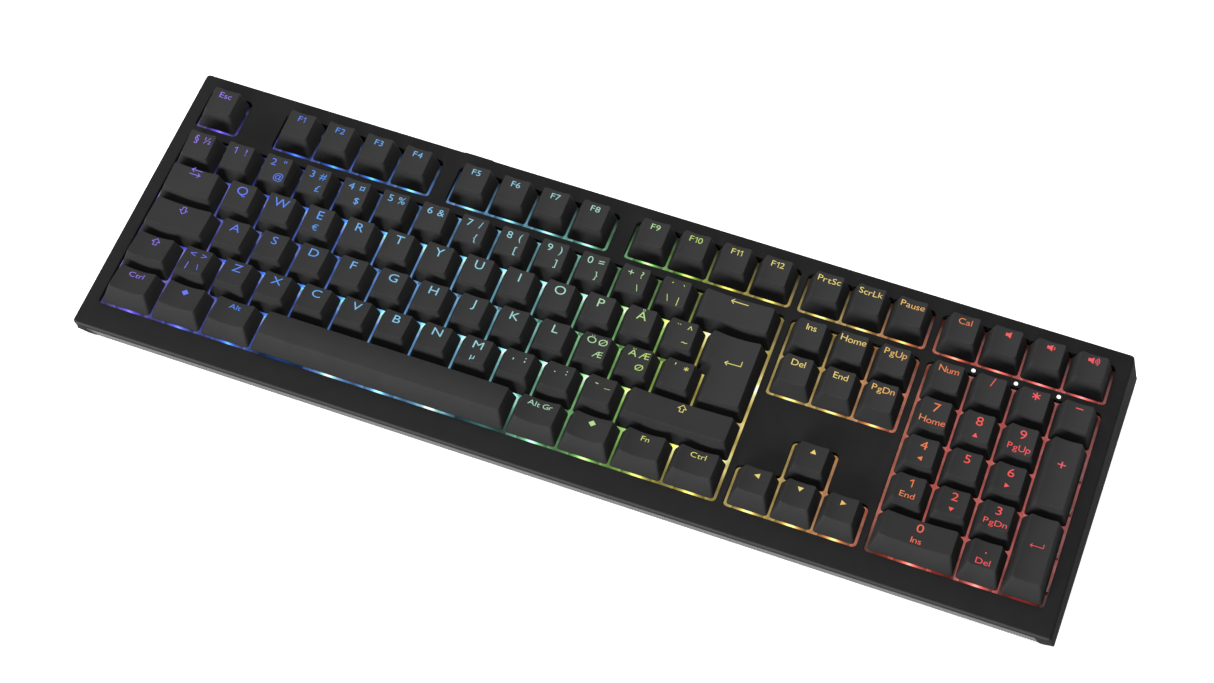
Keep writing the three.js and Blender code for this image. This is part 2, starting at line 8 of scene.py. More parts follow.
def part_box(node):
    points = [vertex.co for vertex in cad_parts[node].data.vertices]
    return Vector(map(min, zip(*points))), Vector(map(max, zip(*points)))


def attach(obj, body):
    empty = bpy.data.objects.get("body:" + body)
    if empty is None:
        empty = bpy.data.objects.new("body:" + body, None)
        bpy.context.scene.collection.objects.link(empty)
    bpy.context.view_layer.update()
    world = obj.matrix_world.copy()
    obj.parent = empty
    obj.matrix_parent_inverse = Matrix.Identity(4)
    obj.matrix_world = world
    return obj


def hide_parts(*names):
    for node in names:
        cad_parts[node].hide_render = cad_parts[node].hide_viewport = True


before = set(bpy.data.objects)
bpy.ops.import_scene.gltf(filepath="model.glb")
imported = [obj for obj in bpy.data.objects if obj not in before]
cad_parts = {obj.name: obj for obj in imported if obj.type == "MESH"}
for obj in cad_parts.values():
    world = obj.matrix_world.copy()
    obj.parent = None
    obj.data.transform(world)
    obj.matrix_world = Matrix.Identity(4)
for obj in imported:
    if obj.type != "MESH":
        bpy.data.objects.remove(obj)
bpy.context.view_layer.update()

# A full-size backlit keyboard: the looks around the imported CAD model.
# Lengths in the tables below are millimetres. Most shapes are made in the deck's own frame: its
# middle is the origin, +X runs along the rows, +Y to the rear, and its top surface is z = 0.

# ---- Driving dimensions ----

MM = 0.001
SHARP = 30  # degrees: an edge that turns by more isn't smoothed
UNIT = 19.05  # key pitch
GRID_UNITS = 22.5
FUNCTION_GAP = 5.84  # extra space below the function row
FIRST_ROW_Y = -48.3

TILT = math.radians(4)
DECK_WIDTH = 442.6
DECK_DEPTH = 142
LIP = 1.5
SIDE_SLOPE = 0.19
REAR_SLOPE = 0.1775
FRONT_SLOPE = 0.314
PARTING_HEIGHT = 5.2
BELLY_HEIGHT = 1.2
ROOF = 2.5
WALL = 2.4
FRONT_WALL = 3.6
CORNER_RADIUS = 1.6
EDGE_RADIUS = 0.8
GROOVE_DEPTH = 0.4  # thin shadow line along the sides and the rear

OPENING_MARGIN = 0.75
OPENING_RADIUS = 1.9
RIM_RADIUS = 0.35  # rounding round each opening

SKIRT_BOTTOM = -0.6
SKIRT_INSET = 0.475
TOP_INSET = 3.4
CAP_WALL = 1.4
CAP_ROOF = 1.6
SKIRT_RADIUS = 1.3  # corners of the skirt, in plan
FACE_RADIUS = 1.1  # corners of the touch face, in plan
CAP_EDGE = 0.32  # rounding between the touch face and the sides
CAP_LEAN = math.radians(16)  # of the sides, where the rounding starts
SKIRT_CHAMFER = 0.12
INNER_RADIUS = 0.8  # corners of the hollow inside
CROWN = 0.9  # of the space bar
FACE_SHARES = (0.14, 0.3, 0.45, 0.6, 0.74, 0.88)  # the face's rings, from its edge to its middle
DISH_CURVE = 21  # radius of the cylinder that hollows a narrow key's face
WIDE_DISH = 1.2
STEP_LIFT = 2.2  # how far the Enter key's step leans back on its way up
CORNER_STEPS = 4
SIDE_POINTS = 8
LEGEND_PROUD = 0.035
LEGEND_DEPTH = 0.1
LETTER_STRETCH = 1.14
LETTER_GAP = 0.14

STEM = (6.8, 5.4)
STEM_BOTTOM = -5.4
CROSS = (2.05, 0.6)  # half length and half width of its arms
CROSS_TOP = 4.0
LIGHT_AHEAD = 6.2  # each light stands this far in front of its switch's middle
LIGHT_REACH = 2.0
USB_X = -85.7
SOCKET_HOLE = (6.2, -12.4, -7.3)  # half width, lower and upper edge
PAD_RADIUS = 2.2
SCREW_XS, SCREW_YS = (-205, -70, 70, 205), (-48, 44)
TRIM_TOP = -6.6
RIDGE_PITCH = 1.25
RIDGE_DEPTH = 0.3
TRIM_BOTTOM_HEIGHT = 1.4  # over the desk
TRIM_STROKE = (0.7, 1.4, 2.1)  # the stroke's edges and the band's start, from the pocket's end
TRIM_FRONT, TRIM_BACK = 0.1, 0.95  # how far in its faces lie
TRIM_LEAN = 0.25  # slant of the ridges and the ends
TRIM_ENDS = (-218, 214.9)  # at the top, where the slant starts
TRIM_POCKET = 1.35  # the CAD's pocket for the trim, in the bottom shell
SHOULDER_ENDS = (221, 219.05)
SHOULDER_KNEE = 2.75
POCKET_DEPTH = 1.05  # how far the trim's pocket goes into the top shell's front wall
POCKET_BOTTOM = -24

# Each row's touch face, from the row's middle and the deck: rear edge Y and Z, front edge Y and Z.
ROW_FACES = (
    (8.1, 6.8, -5.1, 9.1),
    (7.9, 6.9, -5.6, 9.1),
    (7.9, 7.1, -6.2, 8.2),
    (7.4, 8.8, -5.9, 7.9),
    (6.9, 9.6, -6.1, 8.3),
    (7.9, 8.8, -5.5, 8.5),
)

# Where a legend's parts stand on a touch face: across from its middle, back from its rear edge,
# and the height of a capital letter.
PLACES = {
    "letter": (0.1, 3.8, 4.1),
    "high": (0.3, 2.6, 4.1),
    "word": (0, 3.2, 2.9),
    "left": (-2.3, 3.4, 3.3),
    "right": (2.9, 3.4, 3.3),
    "low_right": (2.6, 9.9, 3.1),
    "low_left": (-2.3, 9.9, 3.1),
    "below": (0, 10.3, 2.9),
    "below_sign": (0, 10.5, 2.9),
    "small_word": (0, 3.0, 2.6),
    "icon": (0, 2.0, 3.6),
    "shift": (0.4, 3.0, 3.6),
    "speaker": (0.2, 3.0, 3.6),
    "arrow": (0, 3.7, 3.3),
    "enter": (-0.4, 12.6, 3.4),
    "numpad_enter": (0, 14.2, 2.6),
    "plus": (0, 12.2, 4.6),
    "star": (0.4, 2.8, 5.5),
}



def key(*legend, width=1):
    """A key's width in pitches and its legend: text or icon, then its place, for each part."""
    return width, tuple(zip(legend[::2], legend[1::2]))


def keys_of(place, texts):
    return tuple(key(text, place) for text in texts)


def pairs_of(*signs):
    """Keys with two signs side by side, and perhaps a third one below on the right."""
    places = ("left", "right", "low_right")
    return tuple((1, tuple(zip(text, places))) for text in signs)


# The rows of keys: body, row (0 is nearest the user), left edge in pitches, and its keys.
KEYS = (
    ("escape_key", 5, 0, (key("Esc", "word"),)),
    ("f1_to_f4_keys", 5, 2, keys_of("word", ("F1", "F2", "F3", "F4"))),
    ("f5_to_f8_keys", 5, 6.5, keys_of("word", ("F5", "F6", "F7", "F8"))),
    ("f9_to_f12_keys", 5, 11, keys_of("word", ("F9", "F10", "F11", "F12"))),
    ("print_to_pause_keys", 5, 15.25, keys_of("word", ("PrtSc", "ScrLk", "Pause"))),
    ("calculator_and_volume_keys", 5, 18.5, (
        key("Cal", "word"), *keys_of("speaker", ("speaker 0", "speaker 1", "speaker 3")))),
    ("number_row_left_keys", 4, 0, pairs_of("§½", "1!", '2"@', "3#£", "4¤$", "5%")),
    ("number_row_right_keys", 4, 6, (
        *pairs_of("6&", "7/{", "8([", "9)]", "0=}", "+?\\"),
        key("´", "left", "`", "right", "\\", "low_left", "|", "low_right"))),
    ("backspace_key", 4, 13, (key("long arrow", "icon", width=2),)),
    ("insert_to_page_up_keys", 4, 15.25, keys_of("word", ("Ins", "Home", "PgUp"))),
    ("numpad_top_row_keys", 4, 18.5, (
        key("Num", "word"), key("/", "high"), key("*", "star"), key("−", "high"))),
    ("tab_key", 3, 0, (key("⇆", "icon", width=1.5),)),
    ("q_row_left_keys", 3, 1.5, (
        *keys_of("letter", "QW"), key("E", "letter", "€", "below"), *keys_of("letter", "RT"))),
    ("q_row_right_keys", 3, 6.5, (*keys_of("letter", "YUIOPÅ"), *pairs_of("¨^~"))),
    ("delete_to_page_down_keys", 3, 15.25, keys_of("word", ("Del", "End", "PgDn"))),
    ("numpad_789_keys", 3, 18.5, (
        key("7", "letter", "Home", "below"),
        key("8", "letter", "up", "below_sign"),
        key("9", "letter", "PgUp", "below"))),
    ("caps_lock_key", 2, 0, (key("down arrow", "shift", width=1.75),)),
    ("a_row_left_keys", 2, 1.75, keys_of("letter", "ASDFG")),
    ("a_row_right_keys", 2, 6.75, (
        *keys_of("letter", "HJKL"), *pairs_of("ÖØÆ", "ÄÆØ", "'*"))),
    ("numpad_456_keys", 2, 18.5, (
        key("4", "letter", "left", "below_sign"),
        key("5", "letter"),
        key("6", "letter", "right", "below_sign"))),
    ("left_shift_key", 1, 0, (key("up arrow", "shift", width=1.25),)),
    ("z_row_left_keys", 1, 1.25, (
        key("<", "left", ">", "right", "|", "low_left", "\\", "low_right"),
        *keys_of("letter", "ZXCVB"))),
    ("z_row_right_keys", 1, 7.25, (
        key("N", "letter"), key("M", "letter", "µ", "below"), *pairs_of(",;", ".:", "-_"))),
    ("right_shift_key", 1, 12.25, (key("up arrow", "shift", width=2.75),)),
    ("arrow_up_key", 1, 16.25, (key("up", "arrow"),)),
    ("numpad_123_keys", 1, 18.5, (
        key("1", "letter", "End", "below"),
        key("2", "letter", "down", "below_sign"),
        key("3", "letter", "PgDn", "below"))),
    ("left_ctrl_key", 0, 0, (key("Ctrl", "small_word", width=1.25),)),
    ("left_super_key", 0, 1.25, (key("diamond", "arrow", width=1.25),)),
    ("left_alt_key", 0, 2.5, (key("Alt", "small_word", width=1.25),)),
    ("space_bar", 0, 3.75, (key(width=6.25),)),
    ("alt_gr_key", 0, 10, (key("Alt Gr", "small_word", width=1.25),)),
    ("right_super_key", 0, 11.25, (key("diamond", "arrow", width=1.25),)),
    ("fn_key", 0, 12.5, (key("Fn", "small_word", width=1.25),)),
    ("right_ctrl_key", 0, 13.75, (key("Ctrl", "small_word", width=1.25),)),
    ("arrow_left_to_right_keys", 0, 15.25, keys_of("arrow", ("left", "down", "right"))),
    ("numpad_0_key", 0, 18.5, (key("0", "letter", "Ins", "below", width=2),)),
    ("numpad_dot_key", 0, 20.5, (key(".", "letter", "Del", "below"),)),
)
# Keys two rows tall: body, lower row, left edge and the key.
TALL_KEYS = (
    ("enter_key", 2, 13.75, (key("return", "enter", width=1.25),)),
    ("numpad_plus_key", 2, 21.5, (key("+", "plus"),)),
    ("numpad_enter_key", 0, 21.5, (key("return", "numpad_enter"),)),
)
ENTER_TOP_LEFT = 13.5  # left edge of the upper part of its L

# Openings in the deck: lowest and highest row, left and right edge in pitches.
OPENINGS = (
    (5, 5, 0, 1), (5, 5, 2, 6), (5, 5, 6.5, 10.5), (5, 5, 11, 15), (5, 5, 15.25, 18.25),
    (5, 5, 18.5, 22.5), (0, 4, 0, 15), (3, 4, 15.25, 18.25), (0, 4, 18.5, 22.5),
)

# Colours of the lights from the left end of the keyboard to the right, as X and linear RGB.
LEGEND_COLOURS = (
    (-205, (0.27, 0.15, 0.75)),
    (-176, (0.10, 0.15, 0.82)),
    (-148, (0.06, 0.24, 0.80)),
    (-119, (0.12, 0.38, 0.76)),
    (-81, (0.21, 0.51, 0.70)),
    (-43, (0.27, 0.56, 0.57)),
    (-20, (0.33, 0.60, 0.48)),
    (5, (0.37, 0.61, 0.28)),
    (24, (0.42, 0.61, 0.13)),
    (43, (0.64, 0.59, 0.15)),
    (100, (0.73, 0.58, 0.16)),
    (124, (0.74, 0.42, 0.11)),
    (148, (0.76, 0.17, 0.055)),
    (167, (0.83, 0.075, 0.06)),
    (205, (0.78, 0.072, 0.10)),
)
PLATE_COLOURS = (
    (-205, (0.05, 0.03, 0.40)),
    (-167, (0.02, 0.05, 0.42)),
    (-129, (0.02, 0.12, 0.55)),
    (-100, (0.07, 0.24, 0.62)),
    (-71, (0.09, 0.32, 0.60)),
    (-33, (0.12, 0.42, 0.40)),
    (-14, (0.12, 0.42, 0.20)),
    (5, (0.13, 0.44, 0.09)),
    (24, (0.20, 0.46, 0.05)),
    (43, (0.42, 0.36, 0.04)),
    (95, (0.60, 0.40, 0.08)),
    (114, (0.62, 0.26, 0.06)),
    (133, (0.58, 0.12, 0.045)),
    (157, (0.64, 0.065, 0.05)),
    (205, (0.60, 0.06, 0.06)),
)

# Each row's lights in the main group: where the first cell starts and the cells' width, in pitches.
LIGHT_ROWS = ((0, 1.25), (0.25, 1), (0.75, 1), (0.5, 1), (0, 1), (0, 1))
# Where a row's lights stand half a pitch aside, and where the nearest row's wide keys have none.
SHIFTED_LIGHTS = {0: (19, 20), 5: (6.25, 10.75)}
UNLIT_SPANS = ((3.75, 5), (8.75, 10), (18.4, 19), (20, 20.5), (21.5, 22.6))
BRIGHTEST = 1.1  # a light's emission doesn't rise above this

# The camera looks at a point on the deck: azimuth from +Y, elevation and roll in degrees.
CAMERA_TARGET = (0.0033, -0.0050, 0.0250)
CAMERA_DISTANCE = 1.0768
CAMERA_AZIMUTH = 18.12
CAMERA_ELEVATION = 56.14
CAMERA_ROLL = 2.29
CAMERA_LENS = 73.30

FLOOR_SIZE = 6  # metres
FLOOR_GLOW = 0.85
WORLD_STRENGTH = 0.12


# ---- Frames ----

def deck_matrix():
    """The deck's frame, from the top case's front and rear edges."""
    low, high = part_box("top_case")
    half = DECK_DEPTH / 2 * MM
    at = (0, low.y + half * math.cos(TILT), high.z - half * math.sin(TILT))
    return Matrix.Translation(at) @ Matrix.Rotation(TILT, 4, "X")


DECK = deck_matrix()
DESK = Matrix.Identity(4)
FROM_DECK_MM = DECK @ Matrix.Scale(MM, 4)
TO_DECK_MM = FROM_DECK_MM.inverted()


def column_x(pitches):
    return (pitches - GRID_UNITS / 2) * UNIT


def row_y(row):
    return FIRST_ROW_Y + row * UNIT + (FUNCTION_GAP if row == 5 else 0)


# ---- Materials ----

class Material:
    """A node material with a Principled shader. Arguments named after sockets have _ for spaces."""

    def __init__(self, name):
        self.data = bpy.data.materials.new(name)
        self.data.use_nodes = True
        self.data.node_tree.nodes.clear()
        self.shader = self.node("ShaderNodeBsdfPrincipled")
        self.node("ShaderNodeOutputMaterial", Surface=self.shader.outputs["BSDF"])

    def feed(self, socket, value):
        if isinstance(value, bpy.types.NodeSocket):
            self.data.node_tree.links.new(value, socket)
        else:
            socket.default_value = value

    def node(self, kind, operation=None, **inputs):
        node = self.data.node_tree.nodes.new(kind)
        if operation:
            node.operation = operation
        for name, value in inputs.items():
            self.feed(node.inputs[name.replace("_", " ")], value)
        return node

    def shade(self, **inputs):
        for name, value in inputs.items():
            self.feed(self.shader.inputs[name.replace("_", " ")], value)

    def place(self):
        """The surface's place in the deck's frame, in millimetres."""
        at, turn, _ = TO_DECK_MM.decompose()
        place = self.node("ShaderNodeTexCoord").outputs["Object"]
        mapping = self.node("ShaderNodeMapping", Vector=place, Location=at,
                            Rotation=turn.to_euler(), Scale=(1 / MM,) * 3)
        return mapping.outputs["Vector"]

    def noise(self, scale, detail=2.0, roughness=0.5, place=None):
        """A noise texture's value, with scale in cells for each millimetre."""
        texture = self.node("ShaderNodeTexNoise", Scale=scale, Detail=detail, Roughness=roughness,
                            Vector=self.place() if place is None else place)
        return texture.outputs["Fac"]

    def ramp(self, value, stops):
        """A colour ramp over a value, with stops as position and colour."""
        node = self.node("ShaderNodeValToRGB", Fac=value)
        elements = node.color_ramp.elements
        while len(elements) < len(stops):
            elements.new(0.5)
        for element, (position, colour) in zip(elements, stops):
            element.position = position
            element.color = (*colour, 1)
        return node.outputs["Color"]

    def greys(self, value, dark, light):
        return self.ramp(value, ((0.3, (dark,) * 3), (0.7, (light,) * 3)))

    def maths(self, operation, *values):
        """A Math node on sockets or numbers."""
        node = self.node("ShaderNodeMath", operation)
        for value, socket in zip(values, node.inputs):
            self.feed(socket, value)
        return node.outputs["Value"]

    def bump(self, height, depth_mm):
        node = self.node("ShaderNodeBump", Strength=1, Distance=depth_mm * MM, Height=height)
        self.shade(Normal=node.outputs["Normal"])

    def position_colour(self, stops):
        """A colour that runs from the keyboard's left end to its right, and the place's axes."""
        axes = self.node("ShaderNodeSeparateXYZ", Vector=self.place()).outputs
        across = self.maths("ADD", self.maths("DIVIDE", axes["X"], DECK_WIDTH), 0.5)
        return self.ramp(across, [(x / DECK_WIDTH + 0.5, colour) for x, colour in stops]), axes


def moulded(name, dark, light, rough, specular, grain_mm=0.35, grain_depth=0.012):
    """Moulded plastic: a fine even grain, faint mottling and a little variation in its gloss."""
    m = Material(name)
    grain = m.noise(1 / grain_mm, detail=3, roughness=0.6)
    mottle = m.noise(0.11, detail=4)
    mixed = m.maths("ADD", m.maths("MULTIPLY", mottle, 0.55), m.maths("MULTIPLY", grain, 0.45))
    m.shade(Base_Color=m.greys(mixed, dark, light), Specular_IOR_Level=specular,
            Roughness=m.greys(mixed, rough - 0.05, rough + 0.06))
    m.bump(grain, grain_depth)
    return m.data


def legend_light():
    """Translucent legends, lit from below."""
    m = Material("legend_light")
    colour, _ = m.position_colour(LEGEND_COLOURS)
    m.shade(Emission_Color=colour, Emission_Strength=1.15, Roughness=0.6, Specular_IOR_Level=0.1,
            Base_Color=m.greys(m.noise(1.2), 0.015, 0.025))
    return m.data


def light_level(maths, axes):
    """The light on the switch plate, as two levels that fall from 1 at each key's light.

    The first falls steeply and the second gently. Each row has its lights one pitch apart (the
    nearest row's, one and a quarter), in front of the switches.
    """
    pitches = maths("ADD", maths("DIVIDE", axes["X"], UNIT), GRID_UNITS / 2)

    def within(low, high):
        above, below = maths("GREATER_THAN", pitches, low), maths("LESS_THAN", pitches, high)
        return maths("MULTIPLY", above, below)

    arrows = maths("GREATER_THAN", pitches, 15.125)
    numbers = maths("GREATER_THAN", pitches, 18.375)
    right_groups = maths("ADD", maths("MULTIPLY", arrows, 0.25), maths("MULTIPLY", numbers, 0.25))
    unlit = near = wide = 0.0
    for low, high in UNLIT_SPANS:
        unlit = maths("ADD", unlit, within(low, high))
    for row, (start, pitch) in enumerate(LIGHT_ROWS):
        offset = maths("ADD", maths("MULTIPLY", maths("SUBTRACT", 1, arrows), start), right_groups)
        if row in SHIFTED_LIGHTS:
            offset = maths("ADD", offset, maths("MULTIPLY", within(*SHIFTED_LIGHTS[row]), 0.5))
        step = maths("ADD", pitch, maths("MULTIPLY", arrows, 1 - pitch))
        cells = maths("DIVIDE", maths("SUBTRACT", pitches, offset), step)
        aside = maths("MULTIPLY", maths("SUBTRACT", maths("FRACT", cells), 0.5), step)
        across = maths("MULTIPLY", aside, UNIT / LIGHT_REACH)
        along = maths("DIVIDE", maths("SUBTRACT", axes["Y"], row_y(row) - LIGHT_AHEAD), LIGHT_REACH)
        squares = maths("ADD", maths("POWER", across, 2), maths("POWER", along, 2))
        steep = maths("POWER", maths("ADD", squares, 1), -1.5)
        gentle = maths("POWER", maths("ADD", maths("DIVIDE", squares, 25), 1), -2.5)
        if row == 0:
            steep = maths("MULTIPLY", steep, maths("SUBTRACT", 1, unlit))
            gentle = maths("MULTIPLY", gentle, maths("SUBTRACT", 1, maths("MULTIPLY", unlit, 0.8)))
        near, wide = maths("ADD", near, steep), maths("ADD", wide, gentle)
    inside = maths("ADD", maths("MULTIPLY", within(0.15, 22.4), 0.7), 0.3)
    return near, maths("MULTIPLY", wide, inside)


def lit(name, base, rough, core, glow, pale_glow):
    """A surface among the keys' lights, glowing with their painted light: their colour, white where
    it's closest to one.

    Round each light the painted glow turns towards a pale grey.
    """
    m = Material(name)
    maths = m.maths
    colour, axes = m.position_colour(PLATE_COLOURS)
    cloud = m.noise(0.25, detail=3)
    near, wide = light_level(maths, axes)
    level = maths("ADD", maths("MULTIPLY", near, core), maths("MULTIPLY", wide, glow))
    level = maths("MULTIPLY", level, maths("ADD", maths("MULTIPLY", cloud, 0.6), 0.7))
    scaled = m.node("ShaderNodeVectorMath", "SCALE", Vector=colour, Scale=level)
    capped = m.node("ShaderNodeVectorMath", "MINIMUM", Vector=scaled.outputs["Vector"])
    capped.inputs[1].default_value = (BRIGHTEST,) * 3
    halo, middle = (maths("MINIMUM", maths("MULTIPLY", near, share), 1) for share in (16, 3))
    # Painted light: round each light the glow is mixed towards a pale grey.
    mix = m.node("ShaderNodeMix")
    mix.data_type = "RGBA"
    m.feed(mix.inputs["Factor"], maths("MULTIPLY", maths("SUBTRACT", halo, middle), pale_glow))
    m.feed(mix.inputs["A"], capped.outputs["Vector"])
    m.feed(mix.inputs["B"], m.ramp(cloud, ((0.45, (0.20, 0.19, 0.15)), (0.55, (0.42, 0.40, 0.36)))))
    m.shade(Emission_Color=mix.outputs["Result"], Emission_Strength=1.0, Roughness=rough,
            Base_Color=m.greys(cloud, base * 0.9, base * 1.1))
    return m.data


def white_light():
    """The indicators' frosted tips."""
    m = Material("white_light")
    m.shade(Emission_Color=m.greys(m.noise(2), 0.85, 1), Emission_Strength=1.1, Roughness=0.35,
            Base_Color=(0.8, 0.8, 0.8, 1))
    return m.data


def drawn_steel():
    """Steel with fine drawn lines."""
    m = Material("drawn_steel")
    stretch = m.node("ShaderNodeMapping", Vector=m.place(), Scale=(0.2, 6, 6))
    lines = m.noise(1.5, detail=4, place=stretch.outputs["Vector"])
    m.shade(Base_Color=m.greys(lines, 0.42, 0.6), Roughness=m.greys(lines, 0.25, 0.42), Metallic=1)
    m.bump(lines, 0.01)
    return m.data


def solder_mask():
    """The circuit board's dark green lacquer over its copper tracks."""
    m = Material("solder_mask")
    tracks = m.node("ShaderNodeTexBrick", Vector=m.place(), Scale=0.35, Mortar_Size=0.03,
                    Color1=(0.008, 0.022, 0.014, 1), Color2=(0.008, 0.026, 0.016, 1),
                    Mortar=(0.02, 0.06, 0.035, 1))
    m.shade(Base_Color=tracks.outputs["Color"], Roughness=0.35)
    m.bump(tracks.outputs["Fac"], 0.03)
    return m.data


CASE = moulded("case_plastic", 0.019, 0.023, 0.6, 0.004)
# The front lip: a lighter grey that is a painted highlight, and a little more gloss.
LIP_HIGHLIGHT = moulded("lip_plastic_painted_highlight", 0.042, 0.048, 0.55, 0.02)
CAP = moulded("keycap_plastic", 0.034, 0.04, 0.6, 0.03, grain_mm=0.28)
TRIM = moulded("trim_plastic", 0.1, 0.125, 0.5, 0.2)
SLIDER = moulded("slider_plastic", 0.01, 0.014, 0.35, 0.5)
RUBBER = moulded("pad_rubber", 0.01, 0.016, 0.75, 0.3, grain_mm=0.6, grain_depth=0.03)
# The switch housings and the plate are no lamps: their glow is painted light from the keys' lights.
HOUSING = lit("switch_plastic", base=0.02, rough=0.3, core=8, glow=0.3, pale_glow=0.2)
PLATE = lit("switch_plate", base=0.05, rough=0.45, core=25, glow=1.5, pale_glow=0.8)
LEGEND = legend_light()
INDICATOR = white_light()
STEEL = drawn_steel()
BOARD = solder_mask()


# ---- Mesh code ----

def ring(corners, radius, steps=5, between=0):
    """Points round an outline with rounded corners, the same number at every corner.

    Each straight side can have some more points between its corners.
    """
    arcs = []
    for i, corner in enumerate(corners):
        before = (corners[i - 1] - corner).normalized()
        after = (corners[(i + 1) % len(corners)] - corner).normalized()
        centre = corner + radius * (before + after)
        turns = [math.pi / 2 * k / steps for k in range(steps + 1)]
        arcs.append([centre - radius * (math.cos(t) * after + math.sin(t) * before) for t in turns])
    points = []
    for arc, following in zip(arcs, arcs[1:] + arcs[:1]):
        points += arc
        points += [arc[-1].lerp(following[0], (k + 1) / (between + 1)) for k in range(between)]
    return points


def rectangle(x0, x1, y0, y1, z):
    return [Vector((x0, y0, z)), Vector((x1, y0, z)), Vector((x1, y1, z)), Vector((x0, y1, z))]


def grown(corners, by):
    """An outline of right angles, counter-clockwise seen from above, with its edges moved out."""
    made = []
    for i, corner in enumerate(corners):
        before = (corners[i - 1] - corner).normalized()
        after = (corners[(i + 1) % len(corners)] - corner).normalized()
        turn = after.cross(before).z
        made.append(corner - by * (before + after) * (1 if turn > 0 else -1))
    return made


def add_rings(bm, rings):
    """Makes the walls between rings of equal length, and returns their rows of vertices."""
    rows = [[bm.verts.new(point) for point in points] for points in rings]
    for low, high in zip(rows, rows[1:]):
        for i in range(len(low)):
            j = (i + 1) % len(low)
            bm.faces.new((low[i], low[j], high[j], high[i]))
    return rows


def close(bm, row, middle):
    """Closes a row of vertices with a fan to a middle point."""
    centre = bm.verts.new(middle)
    for i in range(len(row)):
        bm.faces.new((row[i], row[(i + 1) % len(row)], centre))


def close_ends(bm, rows):
    for row in (rows[0], rows[-1]):
        close(bm, row, sum((v.co for v in row), Vector()) / len(row))


def bridge(bm, row, other):
    for i in range(len(row)):
        j = (i + 1) % len(row)
        bm.faces.new((row[i], row[j], other[j], other[i]))


def row_edges(bm, row):
    pairs = zip(row, row[1:] + row[:1])
    return [bm.edges.get(pair) or bm.edges.new(pair) for pair in pairs]


def fill_between(bm, rows):
    """Fills the flat region inside the first row and outside the others."""
    edges = [edge for row in rows for edge in row_edges(bm, row)]
    bmesh.ops.triangle_fill(bm, use_beauty=True, use_dissolve=False, edges=edges)


def block(bm, low, high, rounding):
    """Adds a box with rounded upright edges and chamfered ends."""
    x0, y0, z0 = low
    x1, y1, z1 = high
    cut = rounding * 0.5
    rings = [
        ring(rectangle(x0 + cut, x1 - cut, y0 + cut, y1 - cut, z0), rounding, 3),
        ring(rectangle(x0, x1, y0, y1, z0 + cut), rounding, 3),
        ring(rectangle(x0, x1, y0, y1, z1 - cut), rounding, 3),
        ring(rectangle(x0 + cut, x1 - cut, y0 + cut, y1 - cut, z1), rounding, 3),
    ]
    rows = add_rings(bm, rings)
    close(bm, rows[0], ((x0 + x1) / 2, (y0 + y1) / 2, z0))
    close(bm, rows[-1], ((x0 + x1) / 2, (y0 + y1) / 2, z1))


def new_object(name, data):
    obj = bpy.data.objects.new(name, data)
    bpy.context.scene.collection.objects.link(obj)
    return obj


def finish_mesh(name, bm, *materials, to_frame=DECK, sharp=SHARP):
    """Turns a bmesh in millimetres into an object, with its normals out and sharp edges kept."""
    bmesh.ops.recalc_face_normals(bm, faces=bm.faces)
    bm.transform(to_frame @ Matrix.Scale(MM, 4))
    mesh = bpy.data.meshes.new(name)
    bm.to_mesh(mesh)
    bm.free()
    for material in materials:
        mesh.materials.append(material)
    mesh.shade_smooth()
    mesh.set_sharp_from_angle(angle=math.radians(sharp))
    return new_object(name, mesh)


def evaluated_mesh(obj):
    bpy.context.view_layer.update()
    graph = bpy.context.evaluated_depsgraph_get()
    return bpy.data.meshes.new_from_object(obj.evaluated_get(graph))


def give(obj, body, slot, *nodes):
    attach(obj, body)
    if nodes:
        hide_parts(*nodes)
    return obj


def paint(node, material):
    """Gives a CAD node that stays in view its material."""
    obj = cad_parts[node]
    obj.data.materials.clear()
    obj.data.materials.append(material)


def round_copy(node, name, width, material, merge=1.0):
    """A copy of a CAD node with its flat faces merged and its edges rounded, in metres."""
    bm = bmesh.new()
    bm.from_mesh(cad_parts[node].data)
    bmesh.ops.remove_doubles(bm, verts=bm.verts, dist=1e-6)
    bmesh.ops.dissolve_limit(bm, angle_limit=math.radians(merge), verts=bm.verts, edges=bm.edges)
    sharp = [edge for edge in bm.edges
             if len(edge.link_faces) == 2 and edge.calc_face_angle() > math.radians(25)]
    bmesh.ops.bevel(bm, geom=sharp, offset=width * MM, segments=3, profile=0.5, affect="EDGES",
                    clamp_overlap=True)
    bm.transform(Matrix.Scale(1 / MM, 4))
    return finish_mesh(name, bm, material, to_frame=DESK, sharp=35)


# ---- Keycaps ----

